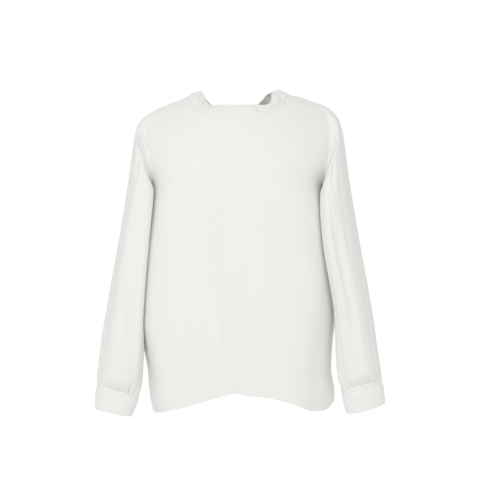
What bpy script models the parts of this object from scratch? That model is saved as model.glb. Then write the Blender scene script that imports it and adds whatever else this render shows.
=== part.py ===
"""A silk blouse, filled out as if it were worn: a front, a back, two full sleeves gathered into closed
cuffs, and a soft standing collar that a button and a loop close at the nape.

The tables hold millimetres and the scene holds metres. The front faces -Y and +Z is up. The origin is
in the middle of the neck opening, level with the tops of the shoulders. Left and right are as seen by
someone who looks at the front.
"""

import math
from collections import namedtuple

import bpy
import numpy as np

MM = 0.001
LEFT, RIGHT = -1, 1
FRONT, BACK = -1, 1

# Cloth
WALL = 1.2  # one layer of the body and sleeves
BAND_WALL = 1.6  # the collar and cuffs are doubled
SEAM_GAP = 0.3
SLIT_GAP = 1.0
MITRE_LIMIT = 0.55  # a seam's wall leans at most this far, as the cosine of half its turn

# Cells of each piece's grid
SHOULDER_CELLS = 3
NECK_CELLS = 16
SIDE_CELLS = 11
ARMHOLE_CELLS = 10
SHOULDER_SHARE = SHOULDER_CELLS / (2 * SHOULDER_CELLS + NECK_CELLS)
SIDE_SHARE = SIDE_CELLS / (SIDE_CELLS + ARMHOLE_CELLS)
INSIDE_BLEND = 0.25  # share of a panel's width, inside its shoulder seams, over which its rows become level
SLEEVE_PER_ARMHOLE = 3  # sleeve columns in each cell of the armhole
SLEEVE_PER_CUFF = 2  # sleeve columns in each cell of the cuff
COLLAR_PER_NECK = 2
COLLAR_ROWS = 5
SLIT_CELLS = 4  # rows of the back that the slit runs down

UNDERARM_Z = -185
SIDE_HEM_Z = -635

# Torso: half widths from x = 0, and depths in front of and behind the side seam. power is how square a
# section's corners are: 2 is an ellipse.
Torso = namedtuple("Torso", "z left right front back side_y power")
TORSO_SECTIONS = (
    Torso(-680, 176.0, 188.0, 133, 85, 25, 4.6),
    Torso(-645, 177.0, 189.0, 134, 85, 25, 4.8),
    Torso(-605, 184.5, 193.5, 134, 84, 25, 5.2),
    Torso(-556, 188.5, 188.0, 134, 82, 25, 5.4),
    Torso(-507, 199.0, 190.5, 133, 79, 25, 5.6),
    Torso(-460, 211.0, 196.0, 132, 76, 25, 5.6),
    Torso(-425, 212.0, 199.0, 131, 73, 25, 5.6),
    Torso(-354, 209.0, 197.0, 130, 71, 25, 5.6),
    Torso(-292, 204.0, 190.0, 129, 74, 24, 5.6),
    Torso(-221, 190.0, 177.0, 125, 84, 17, 5.4),
    Torso(UNDERARM_Z, 182.0, 169.0, 122, 91, 12, 5.0),
    Torso(-172, 184.0, 172.0, 122, 93, 11, 4.8),
    Torso(-150, 191.0, 183.0, 123, 94, 9, 4.4),
    Torso(-120, 203.0, 198.0, 123, 97, 6, 3.6),
    Torso(-60, 214.0, 212.0, 124, 97, 4, 2.8),
    Torso(40, 214.0, 212.0, 122, 96, 2, 2.6),
)
SETTLING_ROUNDS = 30
LINE_SAMPLES = 241  # points of a smooth line before it is cut into equal cells
SHOULDER_ROUND = {FRONT: 220, BACK: 200}  # how far below the shoulder line the full depth is reached

Shoulder = namedtuple("Shoulder", "x left_z right_z")
SHOULDER_LINE = (
    Shoulder(0, 21.0, 21.0),
    Shoulder(60, 13.0, 15.0),
    Shoulder(100, 2.0, 4.0),
    Shoulder(125, -8.5, -2.0),
    Shoulder(150, -18.0, -10.5),
    Shoulder(178, -30.0, -19.0),
    Shoulder(230, -60.0, -45.0),
)

Armhole = namedtuple("Armhole", "down left_x left_z right_x right_z")
ARMHOLE_LINE = (
    Armhole(0.00, 150, -18, 146, -9),
    Armhole(0.10, 166, -31, 159, -28),
    Armhole(0.22, 179, -50, 171, -48),
    Armhole(0.40, 186, -81, 175, -82),
    Armhole(0.60, 180, -116, 173, -120),
    Armhole(0.80, 174, -153, 166.5, -156),
    Armhole(0.92, 176, -176, 165, -176),
    Armhole(1.00, 182, UNDERARM_Z, 169, UNDERARM_Z),
)

NECK_POINT_X = {LEFT: -103, RIGHT: 100}
Neck = namedtuple("Neck", "x z")
FRONT_NECKLINE = (
    Neck(-95.8, -21.9),
    Neck(-79.3, -38.9),
    Neck(-63.0, -46.5),
    Neck(-46.9, -50.8),
    Neck(-22.9, -56.4),
    Neck(-3.8, -58.2),
    Neck(20.2, -54.8),
    Neck(48.9, -46.7),
    Neck(68.4, -35.7),
    Neck(83.7, -22.3),
)
BACK_NECKLINE = (
    Neck(-88, -15),
    Neck(-62, -28),
    Neck(-32, -36.5),
    Neck(0, -39),
    Neck(32, -36.5),
    Neck(62, -26),
    Neck(86, -12),
)

Hem = namedtuple("Hem", "x front_z back_z")
HEM_LINE = (
    Hem(-190, -641, -641),
    Hem(-176, -641, -641),
    Hem(-140, -632, -636),
    Hem(-98, -621, -629),
    Hem(-52, -607, -620),
    Hem(-22, -598, -616),
    Hem(-10, -596, -615),
    Hem(11, -600, -614),
    Hem(68, -607, -617),
    Hem(115, -621, -624),
    Hem(151, -634, -631),
    Hem(177, -633, -630),
    Hem(189, -625, -625),
    Hem(200, -625, -625),
)

# Lengthwise folds of the body: turn runs from -1 at the left side seam to 1 at the right one. A ridge
# has a height above 0, and a trough has one below it. The two widths are those of its left and right sides.
BodyFold = namedtuple(
    "BodyFold", "top_turn top_z low_turn low_z bend left_width right_width top_height low_height"
)
FRONT_FOLDS = (
    BodyFold(-0.285, -88, -0.052, -640, 0.030, 26, 13, 0.8, 6.0),
    BodyFold(0.780, -230, 0.580, -660, 0.000, 24, 28, -1.0, -6.0),
    BodyFold(-0.720, -240, -0.620, -660, 0.000, 24, 24, 0.5, 4.0),
    BodyFold(0.300, -360, 0.240, -660, 0.000, 30, 30, 0.0, 3.0),
)
BACK_FOLDS = (
    BodyFold(0.860, -430, 0.850, -650, 0.000, 20, 20, 0.0, 10.0),
    BodyFold(0.180, -200, 0.080, -660, -0.020, 22, 16, 0.8, 6.0),
    BodyFold(-0.450, -260, -0.520, -660, 0.000, 24, 24, -1.0, -6.0),
    BodyFold(0.520, -300, 0.560, -660, 0.000, 24, 22, -1.0, -6.0),
)
GIRTH_PER_TURN = 240
FOLD_EDGE = 0.06  # folds fade out over this share of a panel at its seams
FOLD_START = 0.12  # and they rise over this share of their own length

# Sleeve rings from the armhole to the cuff: x and z of the outer and inner lines, and how far the ring
# reaches in front of and behind y = 0. lean is how far the inner line lies further forward than the outer
# one, and seam_pull is how much of the armhole's own curve is left in the ring.
Sleeve = namedtuple("Sleeve", "outer_x outer_z inner_x inner_z front back lean seam_pull")
SLEEVE_RINGS = {
    LEFT: (
        Sleeve(163.0, -22.5, 187.0, -186.5, 51, 53, 0, 0.92),
        Sleeve(178.0, -31.0, 186.0, -190.0, 54, 55, 8, 0.76),
        Sleeve(192.0, -40.0, 180.0, -195.5, 56, 57, 22, 0.54),
        Sleeve(203.5, -52.0, 173.5, -204.0, 60, 57, 33, 0.32),
        Sleeve(211.5, -76.0, 172.0, -216.0, 65, 56, 39, 0.14),
        Sleeve(217.5, -112.0, 172.8, -233.0, 68, 53, 44, 0.05),
        Sleeve(223.0, -152.0, 174.8, -256.0, 72, 49, 46, 0),
        Sleeve(231.0, -208.0, 178.3, -286.0, 74, 45, 46, 0),
        Sleeve(241.0, -269.0, 181.8, -326.0, 77, 38, 42, 0),
        Sleeve(265.5, -413.0, 190.3, -446.0, 83, 22, 28, 0),
        Sleeve(281.5, -517.0, 193.8, -542.0, 88, 15, 12, 0),
        Sleeve(285.0, -547.0, 196.0, -569.0, 89, 13, 6, 0),
        Sleeve(287.0, -564.0, 198.5, -586.0, 87, 9, 2, 0),
        Sleeve(287.5, -574.0, 201.0, -597.0, 80, 1, 0, 0),
        Sleeve(286.7, -582.6, 203.6, -605.0, 69, -11, 0, 0),
    ),
    RIGHT: (
        Sleeve(159.5, -13.0, 174.0, -187.0, 51, 53, 0, 0.92),
        Sleeve(175.5, -19.0, 173.0, -190.5, 54, 55, 8, 0.76),
        Sleeve(189.5, -29.0, 167.0, -196.0, 56, 57, 22, 0.54),
        Sleeve(200.5, -43.0, 160.5, -204.0, 60, 57, 33, 0.32),
        Sleeve(208.5, -68.0, 158.4, -217.0, 65, 56, 39, 0.14),
        Sleeve(214.5, -103.0, 158.2, -234.0, 68, 53, 44, 0.05),
        Sleeve(219.5, -146.0, 159.8, -257.0, 72, 49, 46, 0),
        Sleeve(228.5, -208.0, 162.8, -288.0, 74, 45, 46, 0),
        Sleeve(239.5, -274.0, 168.8, -327.0, 77, 38, 42, 0),
        Sleeve(264.5, -413.0, 190.0, -440.0, 83, 22, 28, 0),
        Sleeve(279.0, -512.0, 195.5, -532.0, 88, 15, 12, 0),
        Sleeve(283.0, -540.0, 198.0, -558.0, 89, 13, 6, 0),
        Sleeve(285.5, -557.0, 201.0, -575.0, 87, 9, 2, 0),
        Sleeve(286.3, -565.0, 203.8, -584.0, 80, 1, 0, 0),
        Sleeve(286.1, -572.4, 206.0, -590.5, 69, -11, 0, 0),
    ),
}

# Gathers: waves round a whole ring, and how high they stand at each ring of the sleeve
HEAD_GATHERS = 30
CUFF_GATHERS = 15
HEAD_GATHER_RINGS = (0, 1, 2, 3, 5, 8)
HEAD_GATHER_HEIGHTS = (0.0, 1.1, 1.9, 1.7, 0.9, 0.0)
CUFF_GATHER_RINGS = (9, 11, 12, 13, 14, 15)
CUFF_GATHER_HEIGHTS = (0.0, 0.9, 1.6, 2.4, 2.4, 0.0)
HEAD_GATHER_SPAN = (40, 150)  # degrees from the top of the armhole, down the front and down the back

SLEEVE_GIRTH = 320

# Lengthwise folds of a sleeve, by degrees round it: 0 at the outer line, 90 in front and 180 at the inner
# line
SleeveFold = namedtuple("SleeveFold", "top_angle top_z low_angle low_z width height")
SLEEVE_FOLDS = {
    LEFT: (
        SleeveFold(69, -62, 64, -180, 7, -4.0),
        SleeveFold(100, -120, 108, -560, 13, -5.0),
        SleeveFold(66, -150, 72, -600, 15, 3.5),
        SleeveFold(140, -120, 138, -600, 12, 3.5),
        SleeveFold(250, -140, 262, -590, 14, -5.0),
        SleeveFold(292, -200, 300, -600, 15, 3.0),
    ),
    RIGHT: (
        SleeveFold(76, -64, 96, -200, 7, -5.0),
        SleeveFold(100, -230, 96, -590, 13, -5.0),
        SleeveFold(119, -170, 118, -480, 12, 3.5),
        SleeveFold(160, -420, 138, -610, 8, -8.0),
        SleeveFold(262, -140, 250, -590, 14, -5.0),
        SleeveFold(300, -200, 292, -600, 15, 3.0),
    ),
}
SLEEVE_FOLD_FADE = 0.18  # share of a fold's length over which it rises and dies
BESIDE_TORSO = 6.5  # least room between the sleeve and the body below the underarm
BESIDE_ROUND = 3.0  # how softly the sleeve bends round the body
BESIDE_DROP = 7.0  # depth below the underarm over which it comes to lie so
BESIDE_RISE = 14  # and how much higher than that it starts to, away from the armhole
BESIDE_RINGS = 3  # rings over which it starts higher
HEAD_GATHER_EASE = 25  # degrees over which the head's gathers start and stop
FREE_OF_HEAD, FREE_OF_CUFF = 3, 2  # rings over which folds rise from the armhole and die at the cuff
UNEVENNESS = 0.25  # share by which gathers stand higher or lower than their neighbours

# Cuffs: the same lines at the bottom edge. front_drop is how far the front of it hangs below its middle.
Cuff = namedtuple("Cuff", "outer_x outer_z inner_x inner_z front back front_drop")
CUFF_EDGES = {
    LEFT: Cuff(292.0, -632.0, 217.5, -648.0, 68, -14, 0),
    RIGHT: Cuff(294.0, -620.0, 215.3, -641.0, 68, -14, 4),
}
CUFF_HEIGHT = 52
CuffRow = namedtuple("CuffRow", "below relief")
CUFF_ROWS = (
    CuffRow(0.0, 0.0),
    CuffRow(2.5, 1.1),
    CuffRow(6.5, 1.1),
    CuffRow(9.0, -0.3),
    CuffRow(12.0, 0.2),
    CuffRow(32.0, 0.6),
    CuffRow(52.0, 0.0),
)

# Collar: the top edge, by its place round the neck from one end at the nape (0) by the left shoulder (0.25),
# the front (0.5) and the right shoulder (0.75) to the other end (1). bow is how far its middle swells out.
Collar = namedtuple("Collar", "place x y z bow")
COLLAR_TOP = (
    Collar(0.000, -0.5, 52, -15, 2.0),
    Collar(0.080, -30, 50, -15, 2.0),
    Collar(0.160, -58, 36, -14, 2.5),
    Collar(0.210, -71, 20, 0, 3.0),
    Collar(0.245, -77, 4, 11, 3.5),
    Collar(0.290, -75, -14, 7, 3.5),
    Collar(0.330, -68, -32, -5, 3.0),
    Collar(0.370, -60, -47, -19.5, 3.0),
    Collar(0.420, -40, -60, -21.0, 3.5),
    Collar(0.500, 0, -68, -21.4, 3.5),
    Collar(0.580, 35, -63, -21.0, 3.5),
    Collar(0.640, 53, -54, -20.5, 3.0),
    Collar(0.675, 61, -46, -16.0, 3.0),
    Collar(0.700, 65, -37, -5.5, 3.0),
    Collar(0.720, 64.5, -27, 2.0, 3.0),
    Collar(0.750, 73.5, -8, 13, 3.5),
    Collar(0.780, 77, 8, 15.2, 3.5),
    Collar(0.820, 67.5, 22, 11.5, 3.0),
    Collar(0.860, 56, 35, 7, 2.5),
    Collar(0.895, 47, 42, -2, 2.0),
    Collar(0.915, 41, 46, -9, 2.0),
    Collar(0.950, 26, 50, -16, 2.0),
    Collar(1.000, 0.5, 52, -15, 2.0),
)
COLLAR_ROUND = 545
COLLAR_HEIGHT = 36
COLLAR_FREE = 0.3  # share of its height over which its folds rise from the seam
CollarFold = namedtuple("CollarFold", "from_place from_share to_place to_share width depth")
COLLAR_FOLDS = (
    CollarFold(0.335, 1.00, 0.405, 0.15, 7, 6.0),
    CollarFold(0.575, 0.62, 0.705, 0.35, 6, 5.5),
    CollarFold(0.120, 0.90, 0.160, 0.25, 8, 3.0),
    CollarFold(0.860, 0.25, 0.890, 0.90, 8, 3.0),
)

# Fastening at the nape
BUTTON_COLUMN_FROM_END = 1
BUTTON_ROW = 3
BUTTON_DIAMETER = 10.0
BUTTON_THICKNESS = 3.0
SHANK_DIAMETER = 3.0
SHANK_LENGTH = 2.2
LOOP_CORD = 1.4
LOOP_SIDES = 8
LOOP_LIFT = 0.25  # how far the loop lies above the collar, past the usual gap
LOOP_BIGHT_STEPS = 8
BUTTON_SIDES = 20
BUTTON_PROFILE = ((0.84, 0.0), (1.0, 0.3), (0.9, 0.67), (0.6, 0.93), (0.25, 1.0))  # of radius, thickness
LOOP_SPREAD = 5.0  # between the loop's two legs at the collar's edge
LOOP_LEG = 4.5  # how far each leg lies on the collar

SHARP_ANGLE = math.radians(50)
SILK_COLOUR = (0.83, 0.81, 0.77, 1.0)
SILK_ROUGHNESS = 0.55
BUTTON_COLOUR = (0.80, 0.78, 0.73, 1.0)
BUTTON_ROUGHNESS = 0.4


def column(rows, name):
    return np.array([getattr(row, name) for row in rows], float)


def side_name(side):
    return "left" if side == LEFT else "right"


def smooth(places, values, at):
    """A smooth curve through the values, read at `at`: level at each peak, and beyond the ends."""
    places, values, at = (np.asarray(a, float) for a in (places, values, at))
    steps = np.diff(places)
    slopes = np.diff(values) / steps
    tangents = np.concatenate((slopes[:1], slopes))
    tangents[1:-1] = (slopes[:-1] * steps[1:] + slopes[1:] * steps[:-1]) / (steps[:-1] + steps[1:])
    tangents[1:-1] *= slopes[:-1] * slopes[1:] > 0
    k = np.clip(np.searchsorted(places, at, side="right") - 1, 0, len(steps) - 1)
    t = np.clip((at - places[k]) / steps[k], 0, 1)
    rise = values[k + 1] - values[k]
    start, end = tangents[k] * steps[k], tangents[k + 1] * steps[k]
    return values[k] + t * (start + t * (3 * rise - 2 * start - end + t * (start + end - 2 * rise)))


def ease(t):
    t = np.clip(t, 0, 1)
    return t * t * (3 - 2 * t)


def unit(vectors):
    return vectors / np.linalg.norm(vectors, axis=-1, keepdims=True)


def lengths_along(points):
    steps = np.linalg.norm(np.diff(points, axis=0), axis=1)
    return np.concatenate(([0], np.cumsum(steps)))


def evenly_along(points, count):
    """Fractional positions in a dense row of points that split its length into `count` equal parts."""
    along = lengths_along(points)
    return np.interp(np.linspace(0, along[-1], count + 1), along, np.arange(len(points)))


def between(values, positions):
    """Values, one row for each whole position, read at fractional positions."""
    whole = np.clip(np.floor(positions).astype(int), 0, len(values) - 2)
    part = (positions - whole).reshape((-1,) + (1,) * (np.ndim(values) - 1))
    return values[whole] * (1 - part) + values[whole + 1] * part


# Torso surface


def torso_column(name, z):
    return smooth(column(TORSO_SECTIONS, "z"), column(TORSO_SECTIONS, name), z)


def torso_span(z):
    """(middle, half width) of the torso at a height."""
    left, right = torso_column("left", z), torso_column("right", z)
    return (right - left) / 2, (right + left) / 2


def shoulder_z(x):
    places = column(SHOULDER_LINE, "x")
    left = smooth(places, column(SHOULDER_LINE, "left_z"), np.abs(x))
    right = smooth(places, column(SHOULDER_LINE, "right_z"), np.abs(x))
    side = ease((np.asarray(x) + 40) / 80)
    return left * (1 - side) + right * side


def turn_and_fall(x, z):
    """Torso coordinates of a point: its turn from side seam to side seam, and its fall, which is the square
    root of its drop below the shoulder line."""
    middle, half = torso_span(z)
    turn = np.arcsin(np.clip((x - middle) / half, -1, 1)) / (math.pi / 2)
    return turn, np.sqrt(np.maximum(shoulder_z(x) - z, 0))


def torso_points(turn, fall, face):
    """Points of the torso. Its width and height depend on each other, so they are found in rounds."""
    across = np.sin(turn * math.pi / 2)
    z = -(fall**2)
    for _ in range(SETTLING_ROUNDS):
        middle, half = torso_span(z)
        x = middle + half * across
        z = shoulder_z(x) - fall**2
    share = np.clip(fall**2 / SHOULDER_ROUND[face], 0, 1)
    rounding = np.sqrt(1 - (1 - share) ** 2)
    oval = np.sqrt(np.maximum(1 - np.abs(across) ** torso_column("power", z), 0))
    depth = torso_column("front" if face == FRONT else "back", z)
    y = torso_column("side_y", z) + face * depth * oval * rounding
    return np.stack((x, y, z), axis=-1)


# Outlines of the body panels, as (turn, fall)


def armhole_line(side, face, cells):
    """From the shoulder down to the underarm."""
    down = np.linspace(0, 1, LINE_SAMPLES)
    places = column(ARMHOLE_LINE, "down")
    x = side * smooth(places, column(ARMHOLE_LINE, side_name(side) + "_x"), down)
    z = smooth(places, column(ARMHOLE_LINE, side_name(side) + "_z"), down)
    turn, fall = turn_and_fall(x, z)
    turn[-1], fall[0] = side, 0
    positions = evenly_along(torso_points(turn, fall, face), cells)
    return np.stack((between(turn, positions), between(fall, positions)), axis=-1)


def neckline(face, cells):
    """From the left neck point to the right one."""
    rows = FRONT_NECKLINE if face == FRONT else BACK_NECKLINE
    x = np.concatenate(([NECK_POINT_X[LEFT]], column(rows, "x"), [NECK_POINT_X[RIGHT]]))
    ends = shoulder_z(x[[0, -1]])
    z = np.concatenate((ends[:1], column(rows, "z"), ends[1:]))
    along = lengths_along(np.stack((x, z), axis=-1))
    dense = np.linspace(0, along[-1], LINE_SAMPLES)
    turn, fall = turn_and_fall(smooth(along, x, dense), smooth(along, z, dense))
    fall[[0, -1]] = 0
    positions = evenly_along(torso_points(turn, fall, face), cells)
    return np.stack((between(turn, positions), between(fall, positions)), axis=-1)


def shoulder_seam(side, cells):
    """From the armhole to the neck point."""
    armhole_x = side * column(ARMHOLE_LINE, side_name(side) + "_x")[0]
    x = np.linspace(armhole_x, NECK_POINT_X[side], cells + 1)
    turn, _ = turn_and_fall(x, shoulder_z(x))
    return np.stack((turn, np.zeros_like(turn)), axis=-1)


def side_seam(side, face, cells):
    """From the hem up to the underarm."""
    hem = smooth(column(HEM_LINE, "x"), column(HEM_LINE, hem_name(face)), side * torso_at_hem(side))
    z = np.linspace(hem, UNDERARM_Z, cells + 1)
    middle, half = torso_span(z)
    _, fall = turn_and_fall(middle + side * half, z)
    return np.stack((np.full_like(fall, side), fall), axis=-1)


def torso_at_hem(side):
    return float(torso_column(side_name(side), SIDE_HEM_Z))


def hem_name(face):
    return "front_z" if face == FRONT else "back_z"


def hem_edge(face, cells):
    turn = np.linspace(-1, 1, cells + 1)
    x = np.zeros_like(turn)
    for _ in range(SETTLING_ROUNDS):
        z = smooth(column(HEM_LINE, "x"), column(HEM_LINE, hem_name(face)), x)
        middle, half = torso_span(z)
        x = middle + half * np.sin(turn * math.pi / 2)
    return np.stack((turn, np.sqrt(shoulder_z(x) - z)), axis=-1)


def fold_heights(folds, turn, z):
    total = np.zeros_like(turn)
    for fold in folds:
        t = (z - fold.top_z) / (fold.low_z - fold.top_z)
        inside = ease(t / FOLD_START)
        t = np.clip(t, 0, 1)
        centre = fold.top_turn + (fold.low_turn - fold.top_turn) * t + fold.bend * 4 * t * (1 - t)
        away = (turn - centre) * GIRTH_PER_TURN
        width = np.where(away < 0, fold.left_width, fold.right_width)
        height = fold.top_height + (fold.low_height - fold.top_height) * t
        total += inside * height * np.exp(-((away / width) ** 2))
    return total


# Pieces of cloth

# Each edge of a grid, and the line inside it
EDGES = {"first": (0, 1), "last": (-1, -2), "left": (0, 1), "right": (-1, -2)}


class Cloth:
    """A grid of points on a piece's middle surface, with the way out of the cloth at each of them."""

    def __init__(self, points, outward, closed=False):
        self.points, self.closed = points, closed
        self.find_out(outward)

    def find_out(self, outward):
        if self.closed:
            across = np.roll(self.points, -1, axis=1) - np.roll(self.points, 1, axis=1)
        else:
            across = np.gradient(self.points, axis=1)
        self.out = unit(np.cross(across, np.gradient(self.points, axis=0)))
        if np.sum(self.out * outward) < 0:
            self.out = -self.out

    def raised(self, heights):
        self.points = self.points + heights[..., None] * self.out
        self.find_out(self.out)
        return self

    def trim(self, edge, corners=()):
        """Draws an edge of the grid back along the cloth, square to each run of it between its corners.

        Where the way out is long, the seam turns sharply, and the edge goes back further to keep the gap."""
        at, inner = EDGES[edge]
        across = edge in ("left", "right")
        grid, out = (g.swapaxes(0, 1) if across else g for g in (self.points, self.out))
        line, shift = grid[at], np.zeros_like(grid[at])
        by = SEAM_GAP / 2 * np.linalg.norm(out[at], axis=1, keepdims=True)
        ends = (0, *corners, len(line) - 1)
        for start, end in zip(ends[:-1], ends[1:]):
            run = slice(start, end + 1)
            if self.closed:
                along = unit(np.roll(line, -1, axis=0) - np.roll(line, 1, axis=0))
            else:
                along = unit(np.gradient(line[run], axis=0))
            inward = grid[inner][run] - line[run]
            inward -= along * np.sum(inward * along, axis=1, keepdims=True)
            shift[run] += by[run] * unit(inward)
        line += shift


def spread(values, ratio):
    """Values along a line, with ratio - 1 more between each two."""
    return between(values, np.arange((len(values) - 1) * ratio + 1) / ratio)


def spread_round(ring, ratio):
    """The same on a closed ring."""
    return spread(np.concatenate((ring, ring[:1])), ratio)[:-1]


def mitre(*directions):
    """One way out that walls meeting at a seam share, longer where they meet at an angle."""
    shared = unit(sum(directions))
    lean = np.sum(shared * directions[0], axis=-1, keepdims=True)
    return shared / np.maximum(lean, MITRE_LIMIT)


def progress(falls):
    """How far a line of falls has come, from 0 at its start to 1 at its end."""
    return ((falls[0] - falls) / (falls[0] - falls[-1]))[:, None]


def panel_grid(hem, top, left, right, u, v):
    """(turn, fall) all over a panel, from its four edges. Near its sides the rows follow the side seams and
    the armholes, and between them each row is level."""
    a, b = u[..., None], v[..., None]
    corners = (1 - b) * ((1 - a) * hem[0] + a * hem[-1]) + b * ((1 - a) * top[0] + a * top[-1])
    grid = (1 - b) * hem[None] + b * top[None] + (1 - a) * left[:, None] + a * right[:, None] - corners
    middle = len(hem) // 2
    drops = hem[middle, 1] ** 2, shoulder_z(0) - UNDERARM_Z, top[middle, 1] ** 2
    level = progress(np.sqrt(np.interp(v[:, 0], (0, SIDE_SHARE, 1), drops)))
    sides = (1 - u) * progress(left[:, 1]) + u * progress(right[:, 1])
    inside = ease((np.minimum(u, 1 - u) - SHOULDER_SHARE) / INSIDE_BLEND)
    grid[..., 1] = hem[:, 1] + (top[:, 1] - hem[:, 1]) * (sides + (level - sides) * inside)
    grid[:, 0], grid[:, -1], grid[-1] = left, right, top
    return grid


def body_panel(face):
    columns = 2 * SHOULDER_CELLS + NECK_CELLS
    hem = hem_edge(face, columns)
    top = np.concatenate(
        (
            shoulder_seam(LEFT, SHOULDER_CELLS)[:-1],
            neckline(face, NECK_CELLS),
            shoulder_seam(RIGHT, SHOULDER_CELLS)[::-1][1:],
        )
    )
    left, right = (
        np.concatenate((side_seam(s, face, SIDE_CELLS)[:-1], armhole_line(s, face, ARMHOLE_CELLS)[::-1]))
        for s in (LEFT, RIGHT)
    )
    left[0], right[0] = hem[0], hem[-1]
    u, v = np.linspace(0, 1, columns + 1)[None], np.linspace(0, 1, len(left))[:, None]
    grid = panel_grid(hem, top, left, right, u, v)
    points = torso_points(grid[..., 0], grid[..., 1], face)
    cloth = Cloth(points, (0, face, 0))
    heights = fold_heights(FRONT_FOLDS if face == FRONT else BACK_FOLDS, grid[..., 0], points[..., 2])
    fade = ease(u / FOLD_EDGE) * ease((1 - u) / FOLD_EDGE) * ease((1 - v) / FOLD_EDGE)
    return cloth.raised(heights * fade)


def oval_ring(outer, inner, front, back, cells, lean=0):
    """A ring from its outer line by the front to its inner line and back, in equal steps on each half. Its
    inner line lies further forward than its outer one by the lean."""
    outer, inner = np.asarray(outer, float), np.asarray(inner, float)
    middle, arm = (outer + inner) / 2, (outer - inner) / 2
    centre_y, depth = (back - front) / 2, (back + front) / 2
    angle = np.linspace(0, math.pi, LINE_SAMPLES)
    turn = np.cos(angle)
    half = np.stack(
        (middle[0] + arm[0] * turn, -depth * np.sin(angle), middle[1] + arm[1] * turn, turn), axis=-1
    )
    half = between(half, evenly_along(half[:, :3], cells // 2))
    ring = np.concatenate((half[:-1], (half * (1, -1, 1, 1))[::-1][:-1]))
    ring[:, 1] += centre_y - lean * (1 - ring[:, 3]) / 2
    return ring[:, :3]


def armhole_ring(front, back, side):
    """(points, ways out) of the armhole, from the shoulder by the front to the underarm and back up."""
    at = 0 if side == LEFT else -1
    rows = slice(SIDE_CELLS, None)
    return tuple(
        np.concatenate((getattr(front, name)[rows, at][::-1], getattr(back, name)[rows, at][1:]))
        for name in ("points", "out")
    )


def sleeve_relief(side, rings, angles, z):
    """Gathers at the head and the cuff, and lengthwise folds, over the whole grid."""
    turn = angles / 360
    waves = np.sin(2 * math.pi * (3 * turn + 0.2 * side)) * np.cos(2 * math.pi * (5 * turn + 0.1))
    uneven = 1 - UNEVENNESS + UNEVENNESS * waves
    from_top = np.minimum(angles, 360 - angles)
    start, stop = HEAD_GATHER_SPAN
    span = ease((from_top - start) / HEAD_GATHER_EASE) * ease((stop - from_top) / HEAD_GATHER_EASE)
    head = smooth(HEAD_GATHER_RINGS, HEAD_GATHER_HEIGHTS, rings)
    cuff = smooth(CUFF_GATHER_RINGS, CUFF_GATHER_HEIGHTS, rings)
    total = uneven * span * head * np.cos(2 * math.pi * HEAD_GATHERS * turn)
    total = total + uneven * cuff * np.cos(2 * math.pi * CUFF_GATHERS * turn)
    last = len(SLEEVE_RINGS[side])
    free = ease(rings / FREE_OF_HEAD) * ease((last - rings) / FREE_OF_CUFF)
    for fold in SLEEVE_FOLDS[side]:
        t = (z - fold.top_z) / (fold.low_z - fold.top_z)
        rise = ease(t / SLEEVE_FOLD_FADE) * ease((1 - t) / SLEEVE_FOLD_FADE)
        centre = fold.top_angle + (fold.low_angle - fold.top_angle) * np.clip(t, 0, 1)
        away = (angles - centre) / 360 * SLEEVE_GIRTH
        total = total + free * rise * fold.height * np.exp(-((away / fold.width) ** 2))
    return total


def beside_torso(side, points, rings):
    """The sleeve's points, moved out to where they lie beside the body below the underarm."""
    y, z = points[..., 1], points[..., 2]
    middle, half = torso_span(z)
    off_side = y - torso_column("side_y", z)
    depth = np.where(off_side < 0, torso_column("front", z), torso_column("back", z))
    flat = np.maximum(1 - (off_side / depth) ** 2, 0) ** (1 / torso_column("power", z))
    short = side * middle + half * flat + BESIDE_TORSO - side * points[..., 0]
    push = np.maximum(short - BESIDE_ROUND, 0)
    push += (np.clip(short, -BESIDE_ROUND, BESIDE_ROUND) + BESIDE_ROUND) ** 2 / (4 * BESIDE_ROUND)
    from_z = UNDERARM_Z + BESIDE_RISE * ease((rings - 1) / BESIDE_RINGS)
    push *= ease(rings) * ease((from_z - z) / BESIDE_DROP)
    return points + np.stack((side * push, 0 * y, 0 * z), axis=-1)


def sleeve(side, seam):
    cells = len(seam)
    first = oval_ring(
        seam[0, ::2] * (side, 1),
        seam[cells // 2, ::2] * (side, 1),
        -seam[:, 1].min(),
        seam[:, 1].max(),
        cells,
    )
    leftover = seam * (side, 1, 1) - first
    rings = [first + leftover]
    for row in SLEEVE_RINGS[side]:
        outer, inner = (row.outer_x, row.outer_z), (row.inner_x, row.inner_z)
        plain = oval_ring(outer, inner, row.front, row.back, cells, row.lean)
        rings.append(plain + row.seam_pull * leftover)
    rings[-1] = spread_round(cuff_line(side, cells // SLEEVE_PER_CUFF), SLEEVE_PER_CUFF)
    ring = np.arange(len(rings), dtype=float)[:, None]
    points = beside_torso(side, np.array(rings) * (side, 1, 1), ring)
    cloth = Cloth(points, points - points.mean(axis=1, keepdims=True), closed=True)
    angle = (np.arange(cells) * 360 / cells)[None]
    return cloth.raised(sleeve_relief(side, ring, angle, points[..., 2]))


def cuff_line(side, cells):
    """The seam of the sleeve and the cuff."""
    row = SLEEVE_RINGS[side][-1]
    return oval_ring((row.outer_x, row.outer_z), (row.inner_x, row.inner_z), row.front, row.back, cells)


def cuff(side, cells):
    low = CUFF_EDGES[side]
    upper = cuff_line(side, cells)
    lower = oval_ring((low.outer_x, low.outer_z), (low.inner_x, low.inner_z), low.front, low.back, cells)
    forward = 2 * (lower[:, 1].mean() - lower[:, 1]) / np.ptp(lower[:, 1])  # -1 behind to 1 in front
    lower[:, 2] -= low.front_drop * forward
    down = column(CUFF_ROWS, "below")[:, None, None] / CUFF_HEIGHT
    points = (upper * (1 - down) + lower * down) * (side, 1, 1)
    cloth = Cloth(points, points - points.mean(axis=1, keepdims=True), closed=True)
    return cloth.raised(np.repeat(column(CUFF_ROWS, "relief")[:, None], cells, axis=1))


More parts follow.
